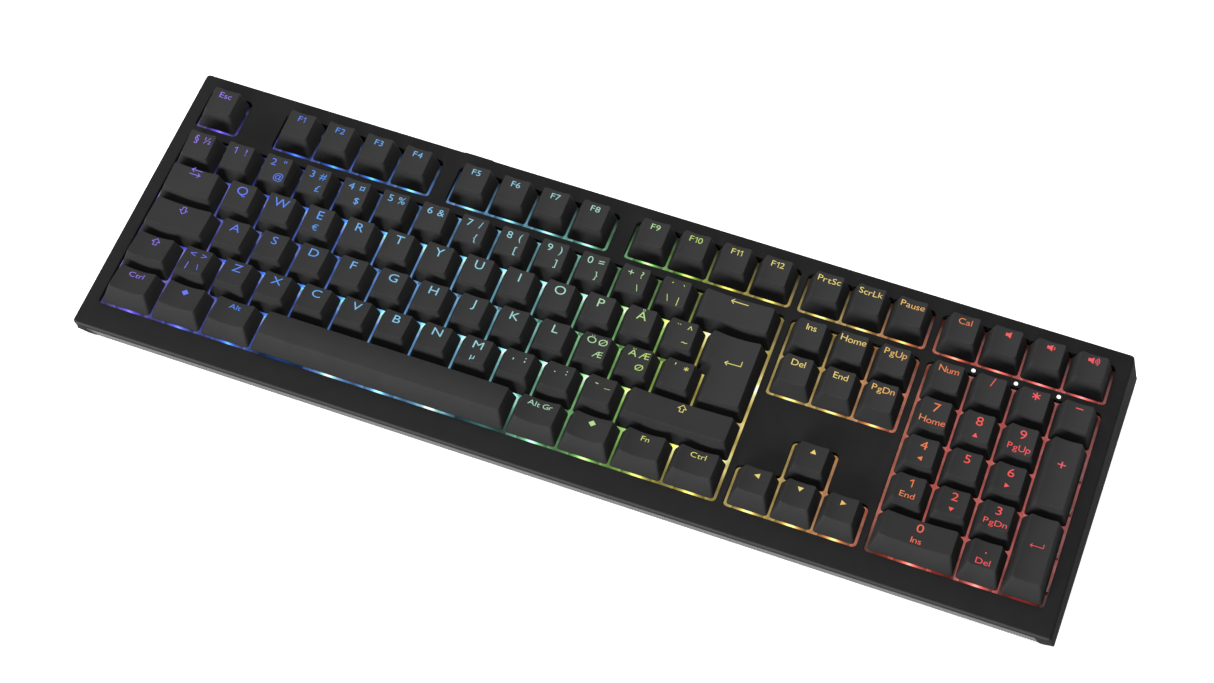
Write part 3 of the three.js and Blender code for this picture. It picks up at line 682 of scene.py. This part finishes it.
class Cap:
    """One keycap's shape: its cell's X range, its lower and upper rows, and its face's curve."""

    def __init__(self, left, right, lower_row, upper_row, step_left=None):
        self.x0, self.x1 = column_x(left), column_x(right)
        self.low_y, self.high_y = row_y(lower_row), row_y(upper_row)
        rear, front = ROW_FACES[upper_row], ROW_FACES[lower_row]
        self.rear_y, self.rear_z = self.high_y + rear[0], rear[1]
        self.front_y, self.front_z = self.low_y + front[2], front[3]
        self.step_x = None if step_left is None else column_x(step_left)
        self.step_y = self.high_y - UNIT / 2
        self.crowned = right - left > 5
        self.middle_x = (self.x0 + self.x1) / 2
        self.half = (self.x1 - self.x0) / 2 - TOP_INSET
        self.dish = self.half ** 2 / (2 * DISH_CURVE) if right - left < 1.3 else WIDE_DISH

    def outline(self, sides, front, rear, z, step_lift=0):
        """The corners of the cap's outline with its edges moved in, at level z."""
        x0, x1 = self.x0 + sides, self.x1 - sides
        y0, y1 = front, rear
        if self.step_x is None:
            return rectangle(x0, x1, y0, y1, z)
        xs, ys = self.step_x + sides, self.step_y + SKIRT_INSET + step_lift
        return [Vector(p) for p in (
            (x0, y0, z), (x1, y0, z), (x1, y1, z), (xs, y1, z), (xs, ys, z), (x0, ys, z))]

    def face_z(self, x, y):
        """The touch face's height."""
        along = (y - self.front_y) / (self.rear_y - self.front_y)
        plane = self.front_z + (self.rear_z - self.front_z) * along
        if self.crowned:
            across = 2 * along - 1
            return plane + CROWN * (1 - across ** 2)
        left = self.x0 if self.step_x is None else self.step_x
        middle = (left + self.x1) / 2
        share = min(1, abs(x - middle) / ((self.x1 - left) / 2 - TOP_INSET))
        return plane - self.dish * (1 - share ** 2)

    def mesh(self, bm):
        """Adds the cap's solid, and returns the height of the ceiling inside it."""
        def rounded(radius, *outline):
            return ring(self.outline(*outline), radius, CORNER_STEPS, SIDE_POINTS)

        def face_ring(inset, drop):
            points = rounded(max(FACE_RADIUS - inset, 0.3), TOP_INSET + inset, self.front_y + inset,
                             self.rear_y - inset, 0, STEP_LIFT + inset)
            return [Vector((p.x, p.y, self.face_z(p.x, p.y) - drop)) for p in points]

        half = UNIT / 2 - SKIRT_INSET
        front, rear = self.low_y - half, self.high_y + half
        chamfer = SKIRT_CHAMFER
        low = rounded(SKIRT_RADIUS, SKIRT_INSET + chamfer, front + chamfer, rear - chamfer,
                      SKIRT_BOTTOM - chamfer)
        skirt = rounded(SKIRT_RADIUS, SKIRT_INSET, front, rear, SKIRT_BOTTOM)

        lean = CAP_LEAN
        rim = face_ring(0, CAP_EDGE * (1 - math.sin(lean)))
        rings = [low, skirt, [a.lerp(b, 0.5) for a, b in zip(skirt, rim)], rim]
        for k in (1, 2, 3, 4):
            angle = lean + (math.pi / 2 - lean) * k / 4
            inset = CAP_EDGE * (math.cos(lean) - math.cos(angle))
            rings.append(face_ring(inset, CAP_EDGE * (1 - math.sin(angle))))
        edge, centre = rings[-1], self.face_centre()
        for share in FACE_SHARES:
            inner = [p.lerp(centre, share) for p in edge]
            rings.append([Vector((p.x, p.y, self.face_z(p.x, p.y))) for p in inner])
        rows = add_rings(bm, rings)
        close(bm, rows[-1], centre)
        ceiling = min(self.front_z, self.rear_z) - CAP_ROOF - (0 if self.crowned else self.dish)
        mouth = rounded(INNER_RADIUS, SKIRT_INSET + CAP_WALL, front + CAP_WALL, rear - CAP_WALL,
                        SKIRT_BOTTOM - chamfer, -CAP_WALL)
        roof = rounded(INNER_RADIUS, TOP_INSET + 0.5, self.front_y + 0.8, self.rear_y - 1.2,
                       ceiling, STEP_LIFT - 0.4)
        inside = add_rings(bm, [mouth, roof])
        bridge(bm, rows[0], inside[0])
        close(bm, inside[-1], (centre.x, centre.y, ceiling))
        return ceiling

    def face_centre(self):
        x = self.middle_x
        y = (self.front_y + self.rear_y) / 2
        if self.step_x is not None:
            y = (self.step_y + self.rear_y) / 2 + 1
        return Vector((x, y, self.face_z(x, y)))


def slab(bm, outline):
    """A thin solid over a flat outline."""
    rows = add_rings(bm, [[Vector((x, y, z)) for x, y in outline]
                          for z in (-LEGEND_DEPTH / 2, LEGEND_DEPTH / 2)])
    for row in rows:
        bmesh.ops.triangle_fill(bm, use_beauty=True, use_dissolve=False, edges=row_edges(bm, row))


def arc_band(radius, width, half_turn, steps=8):
    """The outline of a round stroke, from below to above the X axis."""
    angles = [half_turn * (2 * k / steps - 1) for k in range(steps + 1)]
    outer, inner = ([(r * math.cos(a), r * math.sin(a)) for a in angles]
                    for r in (radius + width / 2, radius - width / 2))
    return outer + inner[::-1]


def stroke(points, width):
    """Outlines that together draw a line through points, with square ends."""
    outlines = []
    for start, end in zip(points, points[1:]):
        along = (Vector(end) - Vector(start)).normalized() * width / 2
        side = Vector((-along.y, along.x))
        a, b = Vector(start) - along, Vector(end) + along
        outlines.append([tuple(p) for p in (a - side, b - side, b + side, a + side)])
    return outlines


def speaker(waves):
    """A loudspeaker with a number of sound waves."""
    shift = -0.18 * (1 + 0.6 * waves)
    cone = ((-0.5, -0.21), (-0.18, -0.21), (0.18, -0.45), (0.18, 0.45), (-0.18, 0.21), (-0.5, 0.21))
    outlines = [[(x + shift, y) for x, y in cone]]
    for wave in range(waves):
        band = arc_band(0.28 + 0.21 * wave, 0.1, math.radians(48))
        outlines.append([(x + 0.15 + shift, y) for x, y in band])
    return outlines


# Signs drawn as outlines, in heights of a capital letter.
BLOCK_ARROW = ((0, 0.55), (0.5, 0), (0.22, 0), (0.22, -0.5), (-0.22, -0.5), (-0.22, 0), (-0.5, 0),
               (0, 0.55))
SIGNS = {
    "*": stroke(((0, -0.28), (0, 0.28)), 0.1) + stroke(((-0.25, -0.14), (0.25, 0.14)), 0.1)
    + stroke(((-0.25, 0.14), (0.25, -0.14)), 0.1),
    "1": stroke(((-0.22, 0.26), (0.06, 0.45), (0.06, -0.45)), 0.11),
    "long arrow": stroke(((-1.05, 0), (1.05, 0)), 0.1)
    + stroke(((-0.75, 0.28), (-1.05, 0), (-0.75, -0.28)), 0.1),
    "return": stroke(((1.05, 0.55), (1.05, -0.15), (-1.05, -0.15)), 0.1)
    + stroke(((-0.75, 0.13), (-1.05, -0.15), (-0.75, -0.43)), 0.1),
    "up arrow": stroke(BLOCK_ARROW, 0.09),
    "down arrow": stroke([(x, -y) for x, y in BLOCK_ARROW], 0.09),
    "up": [((-0.4, -0.35), (0.4, -0.35), (0, 0.35))],
    "down": [((-0.4, 0.35), (0, -0.35), (0.4, 0.35))],
    "left": [((-0.35, 0), (0.35, -0.4), (0.35, 0.4))],
    "right": [((0.35, 0), (-0.35, 0.4), (-0.35, -0.4))],
    "diamond": [((0, -0.5), (0.5, 0), (0, 0.5), (-0.5, 0))],
    "speaker 0": speaker(0),
    "speaker 1": speaker(1),
    "speaker 3": speaker(3),
}
LETTERS = {}


def letter_mesh(sign):
    """One sign as a thin solid, one unit high, its baseline at -0.5, with its width."""
    if sign in SIGNS:
        bm = bmesh.new()
        for outline in SIGNS[sign]:
            slab(bm, outline)
        mesh = bpy.data.meshes.new("sign")
        bm.to_mesh(mesh)
        bm.free()
    else:
        curve = bpy.data.curves.new("letter", "FONT")
        curve.body = sign
        curve.size = 1 / 0.68
        curve.offset = -0.006
        curve.extrude = LEGEND_DEPTH / 2
        curve.resolution_u = 4
        obj = new_object("letter", curve)
        mesh = evaluated_mesh(obj)
        stretch = Matrix.Diagonal((LETTER_STRETCH, 1, 1, 1))
        mesh.transform(Matrix.Translation((0, -0.5, 0)) @ stretch)
        bpy.data.objects.remove(obj)
        bpy.data.curves.remove(curve)
    xs = [vertex.co.x for vertex in mesh.vertices]
    mesh.transform(Matrix.Translation((-min(xs), 0, 0)))
    return mesh, max(xs) - min(xs)


def legend_letters(text, height):
    """The letters of a text as meshes and their left ends, centred on x = 0."""
    signs = [text] if text in SIGNS else list(text)
    at, placed = 0, []
    for sign in signs:
        if sign == " ":
            at += 0.35 * height
            continue
        if sign not in LETTERS:
            LETTERS[sign] = letter_mesh(sign)
        mesh, width = LETTERS[sign]
        placed.append((mesh, at))
        at += (width + LETTER_GAP) * height
    middle = (at - LETTER_GAP * height) / 2
    return [(mesh, x - middle) for mesh, x in placed]


def add_legend(bm, cap, legend):
    """Lays a legend's parts on a cap's touch face."""
    for text, place in legend:
        across, back, height = PLACES[place]
        for mesh, left in legend_letters(text, height):
            start = len(bm.verts)
            bm.from_mesh(mesh)
            bm.verts.ensure_lookup_table()
            for vertex in bm.verts[start:]:
                x = vertex.co.x * height + left + cap.middle_x + across
                y = vertex.co.y * height + cap.rear_y - back
                lift = LEGEND_PROUD - LEGEND_DEPTH / 2 + vertex.co.z
                vertex.co = Vector((x, y, cap.face_z(x, y) + lift))


def add_slider(bm, x, y, ceiling):
    """A switch's slider: its body, and the cross that holds the cap."""
    across, along = STEM[0] / 2, STEM[1] / 2
    block(bm, (x - across, y - along, STEM_BOTTOM), (x + across, y + along, 0.4), 0.5)
    long, thin = CROSS
    block(bm, (x - long, y - thin, 0.2), (x + long, y + thin, CROSS_TOP), 0.2)
    block(bm, (x - thin, y - long, 0.2), (x + thin, y + long, CROSS_TOP), 0.2)
    block(bm, (x - 2.9, y - 2.9, CROSS_TOP - 0.4), (x + 2.9, y + 2.9, ceiling + 0.5), 1.6)


# Half the distance between the two posts of a stabilised key, and a post's half width and depth.
POST_HALF = (1.6, 2.2)
STABILISED = {
    "backspace_key": 11.9, "right_shift_key": 11.9, "space_bar": 50, "numpad_0_key": 11.9,
    "enter_key": 11.9, "numpad_plus_key": 11.9, "numpad_enter_key": 11.9,
}


def key_name(body, index, count):
    name = body.removesuffix("_keys").removesuffix("_key") + "_cap"
    return f"{name}_{index + 1}" if count > 1 else name


def build_keys():
    """Every keycap as its own piece, and for each body its legends and its sliders."""
    rows = [(body, row, row, left, keys, None) for body, row, left, keys in KEYS]
    rows += [(body, row, row + 1, left, keys, ENTER_TOP_LEFT if body == "enter_key" else None)
             for body, row, left, keys in TALL_KEYS]
    for body, low_row, high_row, left, keys, step in rows:
        legends, sliders = bmesh.new(), bmesh.new()
        for index, (width, legend) in enumerate(keys):
            cap = Cap(left, left + width, low_row, high_row, step)
            bm = bmesh.new()
            ceiling = cap.mesh(bm)
            piece = finish_mesh(key_name(body, index, len(keys)), bm, CAP, sharp=60)
            give(piece, body, "keycap_plastic", body)
            add_legend(legends, cap, legend)
            y = (row_y(low_row) + row_y(high_row)) / 2
            add_slider(sliders, cap.middle_x, y, ceiling)
            if body in STABILISED:
                for side in (-STABILISED[body], STABILISED[body]):
                    px, py, sx, sy = cap.middle_x + side, y, *POST_HALF
                    if low_row != high_row:
                        px, py, sx, sy = cap.middle_x, y + side, sy, sx
                    block(sliders, (px - sx, py - sy, -0.5), (px + sx, py + sy, ceiling + 0.5), 0.4)
            left += width
        if legends.verts:
            give(finish_mesh(f"{body}_legends", legends, LEGEND), body, "legend_light")
        else:
            legends.free()
        give(finish_mesh(f"{body}_sliders", sliders, SLIDER), body, "switch_plastic")


build_keys()


# ---- Case ----

def wall_corner(side_x, side_y, height):
    """The case's outer corner at a height over the desk, in the deck's frame."""
    slope = REAR_SLOPE if side_y > 0 else FRONT_SLOPE
    start = DECK_DEPTH / 2 if side_y > 0 else -DECK_DEPTH / 2 - FRONT_SLOPE * LIP
    deck_height = DECK.translation.z / MM
    fall = height - deck_height - start * math.sin(TILT)
    z = fall / (math.cos(TILT) - slope * math.sin(TILT))
    return Vector((side_x * (DECK_WIDTH / 2 - SIDE_SLOPE * z), start - slope * z, z))


def moved_in(corners, sides, front, rear):
    """A case outline with its walls moved in."""
    return [c + Vector((-sides if c.x > 0 else sides, front if c.y < 0 else -rear, 0))
            for c in corners]


def opening_corners(low_row, high_row, left, right, z):
    half = UNIT / 2 + OPENING_MARGIN
    return rectangle(column_x(left) - OPENING_MARGIN, column_x(right) + OPENING_MARGIN,
                     row_y(low_row) - half, row_y(high_row) + half, z)


def arrow_corners(z):
    """The arrow keys' opening, an upside-down T."""
    half = UNIT / 2 + OPENING_MARGIN
    x = [column_x(p) + m for p, m in ((15.25, -OPENING_MARGIN), (16.25, -OPENING_MARGIN),
                                      (17.25, OPENING_MARGIN), (18.25, OPENING_MARGIN))]
    low, mid, high = row_y(0) - half, row_y(0) + half, row_y(1) + half
    return [Vector(p) for p in ((x[0], low, z), (x[3], low, z), (x[3], mid, z), (x[2], mid, z),
                                (x[2], high, z), (x[1], high, z), (x[1], mid, z), (x[0], mid, z))]


def round_hole(x, y, radius, z, sides=20):
    return [Vector((x + radius * math.cos(2 * math.pi * k / sides),
                    y + radius * math.sin(2 * math.pi * k / sides), z)) for k in range(sides)]


INDICATORS = [(column_x(p), 40.1) for p in (19.5, 20.5, 21.5)]
DOT_RADIUS = 0.9


def build_top_case():
    bm = bmesh.new()
    order = ((-1, -1), (1, -1), (1, 1), (-1, 1))
    foot = [wall_corner(x, y, PARTING_HEIGHT) for x, y in order]

    def level(z, sides=0.0, front=0.0, rear=0.0):
        x = DECK_WIDTH / 2 - SIDE_SLOPE * z
        ys = {-1: -DECK_DEPTH / 2, 1: DECK_DEPTH / 2 - REAR_SLOPE * z}
        return moved_in([Vector((sx * x, ys[sy], z)) for sx, sy in order], sides, front, rear)

    groove = GROOVE_DEPTH
    outer = [foot, level(-LIP), level(-1.32), level(-1.26, groove, 0, groove),
             level(-0.98, groove, 0, groove), level(-0.92, 0.03, 0, 0.03)]
    for k in range(5):
        angle = math.radians(12 + 78 * k / 4)
        inset = EDGE_RADIUS * (math.cos(math.radians(12)) - math.cos(angle))
        outer.append(level(-EDGE_RADIUS * (1 - math.sin(angle)), inset, inset * 0.6, inset))
    rows = add_rings(bm, [ring(corners, CORNER_RADIUS) for corners in outer])
    inner = [moved_in(foot, WALL, FRONT_WALL, WALL), moved_in(level(-ROOF), WALL, FRONT_WALL, WALL)]
    inner_rows = add_rings(bm, [ring(corners, 1.0) for corners in inner])
    bridge(bm, rows[0], inner_rows[0])
    tops, bottoms = [rows[-1]], [inner_rows[-1]]
    for opening in OPENINGS + (None,):
        corners = arrow_corners(0) if opening is None else opening_corners(*opening, 0)
        rings = []
        for k in range(4):
            angle = math.pi / 2 * k / 3
            z = -RIM_RADIUS * (1 - math.cos(angle))
            out = grown(corners, RIM_RADIUS * (1 - math.sin(angle)))
            points = ring(out, OPENING_RADIUS + RIM_RADIUS * 0.5)
            rings.append([p + Vector((0, 0, z)) for p in points])
        rings.append([p + Vector((0, 0, -ROOF)) for p in ring(corners, OPENING_RADIUS)])
        made = add_rings(bm, rings)
        tops.append(made[0])
        bottoms.append(made[-1])
    for x, y in INDICATORS:
        made = add_rings(bm, [round_hole(x, y, DOT_RADIUS + gap, z)
                              for gap, z in ((0.25, 0), (0.1, -0.15), (0.1, -ROOF))])
        tops.append(made[0])
        bottoms.append(made[-1])
    fill_between(bm, tops)
    fill_between(bm, bottoms)
    for face in bm.faces:
        middle = face.calc_center_median()
        if middle.y < -DECK_DEPTH / 2 + 0.5 and -LIP < middle.z < -0.1:
            face.material_index = 1  # the lip along the front: a lighter grey that is a painted highlight, and a little glossier
    return finish_mesh("top_shell", bm, CASE, LIP_HIGHLIGHT)


def rear_wall_ring(half_x, low_z, high_z, depth, radius):
    """A rounded outline on the rear wall around the cable socket, moved out by depth."""
    corners = [Vector((USB_X + x, DECK_DEPTH / 2 - REAR_SLOPE * z + depth, z))
               for x, z in ((-half_x, low_z), (half_x, low_z), (half_x, high_z), (-half_x, high_z))]
    return ring(corners, radius)


def socket_cutter():
    bm = bmesh.new()
    rows = add_rings(bm, [rear_wall_ring(*SOCKET_HOLE, depth, 1.2) for depth in (-6, 4)])
    close_ends(bm, rows)
    return finish_mesh("socket_cutter", bm, CASE)


def front_point(x, z, depth):
    """A point on the front wall, moved in by depth."""
    return Vector((x, -DECK_DEPTH / 2 - FRONT_SLOPE * (z + LIP) + depth, z))


def trim_point(x, z, depth):
    """The same, with x slanting as the trim's ridges do."""
    return front_point(x + TRIM_LEAN * (TRIM_TOP - z), z, depth)


def trim_cutter():
    bm = bmesh.new()
    (left, right), top = TRIM_ENDS, TRIM_TOP + 0.25
    corners = ((left, top), (right, top), (right, POCKET_BOTTOM), (left, POCKET_BOTTOM))
    rows = add_rings(bm, [[trim_point(x, z, depth) for x, z in corners]
                          for depth in (-2, POCKET_DEPTH)])
    close_ends(bm, rows)
    return finish_mesh("trim_cutter", bm, CASE)


def build_trim_shoulders():
    """The bottom shell's front wall beside the trim's slanting ends, down to its sloping sides."""
    bm = bmesh.new()
    top, knee, bottom = (wall_corner(1, -1, height).z
                         for height in (PARTING_HEIGHT - 0.2, SHOULDER_KNEE, BELLY_HEIGHT))
    for side, inner in zip((-1, 1), TRIM_ENDS):
        outer, lower = (side * x for x in SHOULDER_ENDS)
        rows = add_rings(bm, [[front_point(outer, top, depth), trim_point(inner, top, depth),
                               trim_point(inner, bottom, depth), front_point(lower, bottom, depth),
                               front_point(outer, knee, depth)] for depth in (0, TRIM_POCKET)])
        close_ends(bm, rows)
    return finish_mesh("trim_shoulders", bm, CASE, sharp=40)


def cut(obj, cutter):
    """Takes the cutter's shape out of an object, and removes the cutter."""
    modifier = obj.modifiers.new("cut", "BOOLEAN")
    modifier.object = cutter
    modifier.solver = "EXACT"
    mesh = evaluated_mesh(obj)
    obj.modifiers.clear()
    obj.data = mesh
    mesh.shade_smooth()
    mesh.set_sharp_from_angle(angle=math.radians(SHARP))
    bpy.data.objects.remove(cutter)
    return obj


def build_socket_surround():
    """The raised panel round the cable socket."""
    bm = bmesh.new()
    outer = [rear_wall_ring(7.6 - inset, -15.8 + inset, -0.9 - inset, depth, 1.4)
             for depth, inset in ((-0.3, 0), (0.35, 0), (0.55, 0.2))]
    half_x, low, high = SOCKET_HOLE
    inner = [rear_wall_ring(half_x + grow, low - grow, high + grow, depth, 1.2)
             for depth, grow in ((0.55, 0.15), (0.4, 0), (-0.3, 0))]
    outer_rows, inner_rows = add_rings(bm, outer), add_rings(bm, inner)
    bridge(bm, outer_rows[-1], inner_rows[0])
    bridge(bm, outer_rows[0], inner_rows[-1])
    return finish_mesh("socket_surround", bm, CASE)


def build_socket():
    """The cable socket: a steel shell with rounded ends, and its tongue."""
    bm = bmesh.new()
    low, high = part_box("usb_socket")
    middle = TO_DECK_MM @ ((low + high) / 2)
    mouth = (TO_DECK_MM @ high).y - 0.3

    def outline(grow, y):
        return ring([Vector((middle.x + x * (4.4 + grow), y, middle.z + z * (1.5 + grow)))
                     for x, z in ((-1, -1), (1, -1), (1, 1), (-1, 1))], 1.2 + grow)

    back = mouth - 6.6
    rows = add_rings(bm, [outline(0, back), outline(0, mouth), outline(-0.3, mouth),
                          outline(-0.3, back + 0.6)])
    close_ends(bm, rows)
    shell = finish_mesh("socket_shell", bm, STEEL)
    bm = bmesh.new()
    block(bm, (middle.x - 3.2, back + 0.4, middle.z - 0.35),
          (middle.x + 3.2, mouth - 0.7, middle.z + 0.35), 0.3)
    tongue = finish_mesh("socket_tongue", bm, SLIDER)
    return shell, tongue


give(cut(cut(build_top_case(), socket_cutter()), trim_cutter()), "case", "case_plastic", "top_case")
give(build_trim_shoulders(), "case", "case_plastic")
give(build_socket_surround(), "case", "case_plastic")
for piece in build_socket():
    give(piece, "case", "steel", "usb_socket")
give(round_copy("bottom_case", "bottom_shell", 0.35, CASE), "case", "case_plastic", "bottom_case")


def node_box_mm(node):
    low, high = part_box(node)
    return low / MM, high / MM


def build_pad(node):
    """A rubber pad with rounded corners and a soft edge."""
    low, high = node_box_mm(node)
    bm = bmesh.new()
    rings = []
    for z, inset in ((low.z, 0.5), (low.z + 0.15, 0.2), (low.z + 0.5, 0), (high.z, 0)):
        corners = rectangle(low.x + inset, high.x - inset, low.y + inset, high.y - inset, z)
        rings.append(ring(corners, PAD_RADIUS))
    rows = add_rings(bm, rings)
    close_ends(bm, rows)
    return finish_mesh(f"{node}_rubber", bm, RUBBER, to_frame=DESK)


def build_foot_tip(node):
    """The soft tip at a tilt foot's free end, and grip ribs across its face."""
    low, high = node_box_mm(node)
    bm = bmesh.new()
    front = low.y + 0.05
    x0, x1 = low.x + 2.6, high.x - 2.6
    block(bm, (x0, front, low.z + 0.05), (x1, front + 3.4, low.z + 0.9), 0.4)
    for k in range(4):
        y = front + 5 + 1.5 * k
        block(bm, (x0 + 5, y, low.z + 0.05), (x1 - 5, y + 0.7, low.z + 0.7), 0.2)
    return finish_mesh(f"{node}_tip", bm, RUBBER, to_frame=DESK)


def build_screws():
    """The screws that hold the shells together: heads with a cross recess, under the belly."""
    bm = bmesh.new()
    z = node_box_mm("bottom_case")[0].z
    for x in SCREW_XS:
        for y in SCREW_YS:
            rows = add_rings(bm, [round_hole(x, y, radius, z + lift, 24)
                                  for radius, lift in ((2.9, 1.2), (2.9, 0.05), (2.6, -0.15))])
            close_ends(bm, rows)
            for w, h in ((1.6, 0.3), (0.3, 1.6)):
                block(bm, (x - w, y - h, z - 0.22), (x + w, y + h, z + 0.3), 0.1)
    return finish_mesh("case_screws", bm, STEEL, to_frame=DESK)


for node in ("front_pad", "rear_pad_left", "rear_pad_right"):
    give(build_pad(node), "case", "pad_rubber", node)
for node in ("tilt_foot_left", "tilt_foot_right"):
    give(round_copy(node, f"{node}_leg", 0.3, CASE), node, "case_plastic", node)
    give(build_foot_tip(node), node, "pad_rubber")
give(build_screws(), "case", "steel")


def build_light_guide():
    """The indicators' guide: a clear bar under the deck with a round pin up each hole."""
    bm = bmesh.new()
    y = INDICATORS[0][1]
    block(bm, (INDICATORS[0][0] - 3, y - 0.4, -5), (INDICATORS[-1][0] + 3, y + 2.9, -3.6), 0.4)
    for x, y in INDICATORS:
        made = add_rings(bm, [round_hole(x, y, DOT_RADIUS * share, z)
                              for share, z in ((1, -3.8), (1, -0.25), (0.8, -0.1))])
        close(bm, made[0], (x, y, -3.8))
        close(bm, made[-1], (x, y, -0.05))
    return finish_mesh("light_guide", bm, INDICATOR, sharp=40)


give(build_light_guide(), "case", "indicator_light", "indicator_light_guide")


def build_trim():
    """The ridged band in the front wall, with a narrow separate stroke at its left end."""
    bm = bmesh.new()
    bottom = wall_corner(1, -1, TRIM_BOTTOM_HEIGHT).z
    levels = [TRIM_TOP + (bottom - TRIM_TOP) * k / 4 for k in range(5)]

    def band(xs, depths):
        front = [[bm.verts.new(trim_point(x, z, TRIM_FRONT + depth))
                  for x, depth in zip(xs, depths)] for z in levels]
        back = [[bm.verts.new(trim_point(x, z, TRIM_BACK)) for x in xs]
                for z in (levels[0], levels[-1])]
        pairs = [*zip(front, front[1:]), (back[0], front[0]), (front[-1], back[1]),
                 (back[1], back[0])]
        for low, high in pairs:
            for i in range(len(xs) - 1):
                bm.faces.new((low[i], low[i + 1], high[i + 1], high[i]))
        for i in (0, -1):
            bm.faces.new([row[i] for row in front] + [back[1][i], back[0][i]])

    stroke_left, stroke_right, left = (TRIM_ENDS[0] + x for x in TRIM_STROKE)
    right = TRIM_ENDS[1] - 0.15
    band((stroke_left, stroke_right), (0, 0))
    count = round((right - left) / RIDGE_PITCH)
    xs, depths = [], []
    for k in range(count):
        for share, depth in ((0, RIDGE_DEPTH), (0.3, 0), (0.7, 0)):
            xs.append(left + (k + share) * (right - left) / count)
            depths.append(depth)
    band(xs + [right], depths + [RIDGE_DEPTH])
    return finish_mesh("ridged_trim", bm, TRIM, sharp=20)


give(build_trim(), "case", "trim_plastic", "front_trim")


# ---- CAD nodes that stay in view ----

paint("switch_plate", PLATE)
paint("switch_housings", HOUSING)
paint("circuit_board", BOARD)
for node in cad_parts:
    if node.endswith("_stabiliser_wire"):
        paint(node, STEEL)


# ---- Stage ----

def build_stage():
    mesh = bpy.data.meshes.new("floor")
    bm = bmesh.new()
    bmesh.ops.create_grid(bm, x_segments=1, y_segments=1, size=FLOOR_SIZE / 2)
    bm.to_mesh(mesh)
    bm.free()
    m = Material("floor_paint")
    m.shade(Base_Color=m.greys(m.noise(0.002), 0.86, 0.88), Roughness=0.9, Specular_IOR_Level=0.1,
            Emission_Color=(1, 1, 1, 1), Emission_Strength=FLOOR_GLOW)
    mesh.materials.append(m.data)
    floor = new_object("floor", mesh)


def area_light(name, at, size, watts):
    """A rectangular light that faces the origin."""
    light = bpy.data.lights.new(name, "AREA")
    light.shape = "RECTANGLE"
    light.size, light.size_y = size
    light.energy = watts
    obj = new_object(name, light)
    obj.location = at
    obj.rotation_euler = (-Vector(at)).to_track_quat("-Z", "Y").to_euler()


def build_lights():
    world = bpy.data.worlds.new("studio")
    bpy.context.scene.world = world
    world.use_nodes = True
    background = world.node_tree.nodes["Background"]
    background.inputs["Color"].default_value = (1, 1, 1, 1)
    background.inputs["Strength"].default_value = WORLD_STRENGTH
    area_light("top_light", (-0.3, 0.5, 1.5), (1.6, 1.0), 25)
    area_light("front_light", (-0.5, -1.7, 0.48), (1.6, 0.4), 36)


def build_camera():
    azimuth, elevation = math.radians(CAMERA_AZIMUTH), math.radians(CAMERA_ELEVATION)
    flat = math.cos(elevation)
    ahead = Vector((-math.sin(azimuth) * flat, math.cos(azimuth) * flat, -math.sin(elevation)))
    level = ahead.cross(Vector((0, 0, 1))).normalized()
    right = Matrix.Rotation(math.radians(-CAMERA_ROLL), 3, ahead) @ level
    up = right.cross(ahead)
    turn = Matrix((right, up, -ahead)).transposed().to_4x4()
    camera = bpy.data.cameras.new("camera")
    camera.lens = CAMERA_LENS
    camera.sensor_fit = "HORIZONTAL"
    camera.sensor_width = 36
    camera.clip_end = 20
    obj = new_object("camera", camera)
    obj.matrix_world = Matrix.Translation(Vector(CAMERA_TARGET) - CAMERA_DISTANCE * ahead) @ turn
    bpy.context.scene.camera = obj


build_stage()
build_lights()
build_camera()
bpy.context.scene.view_settings.view_transform = "Standard"
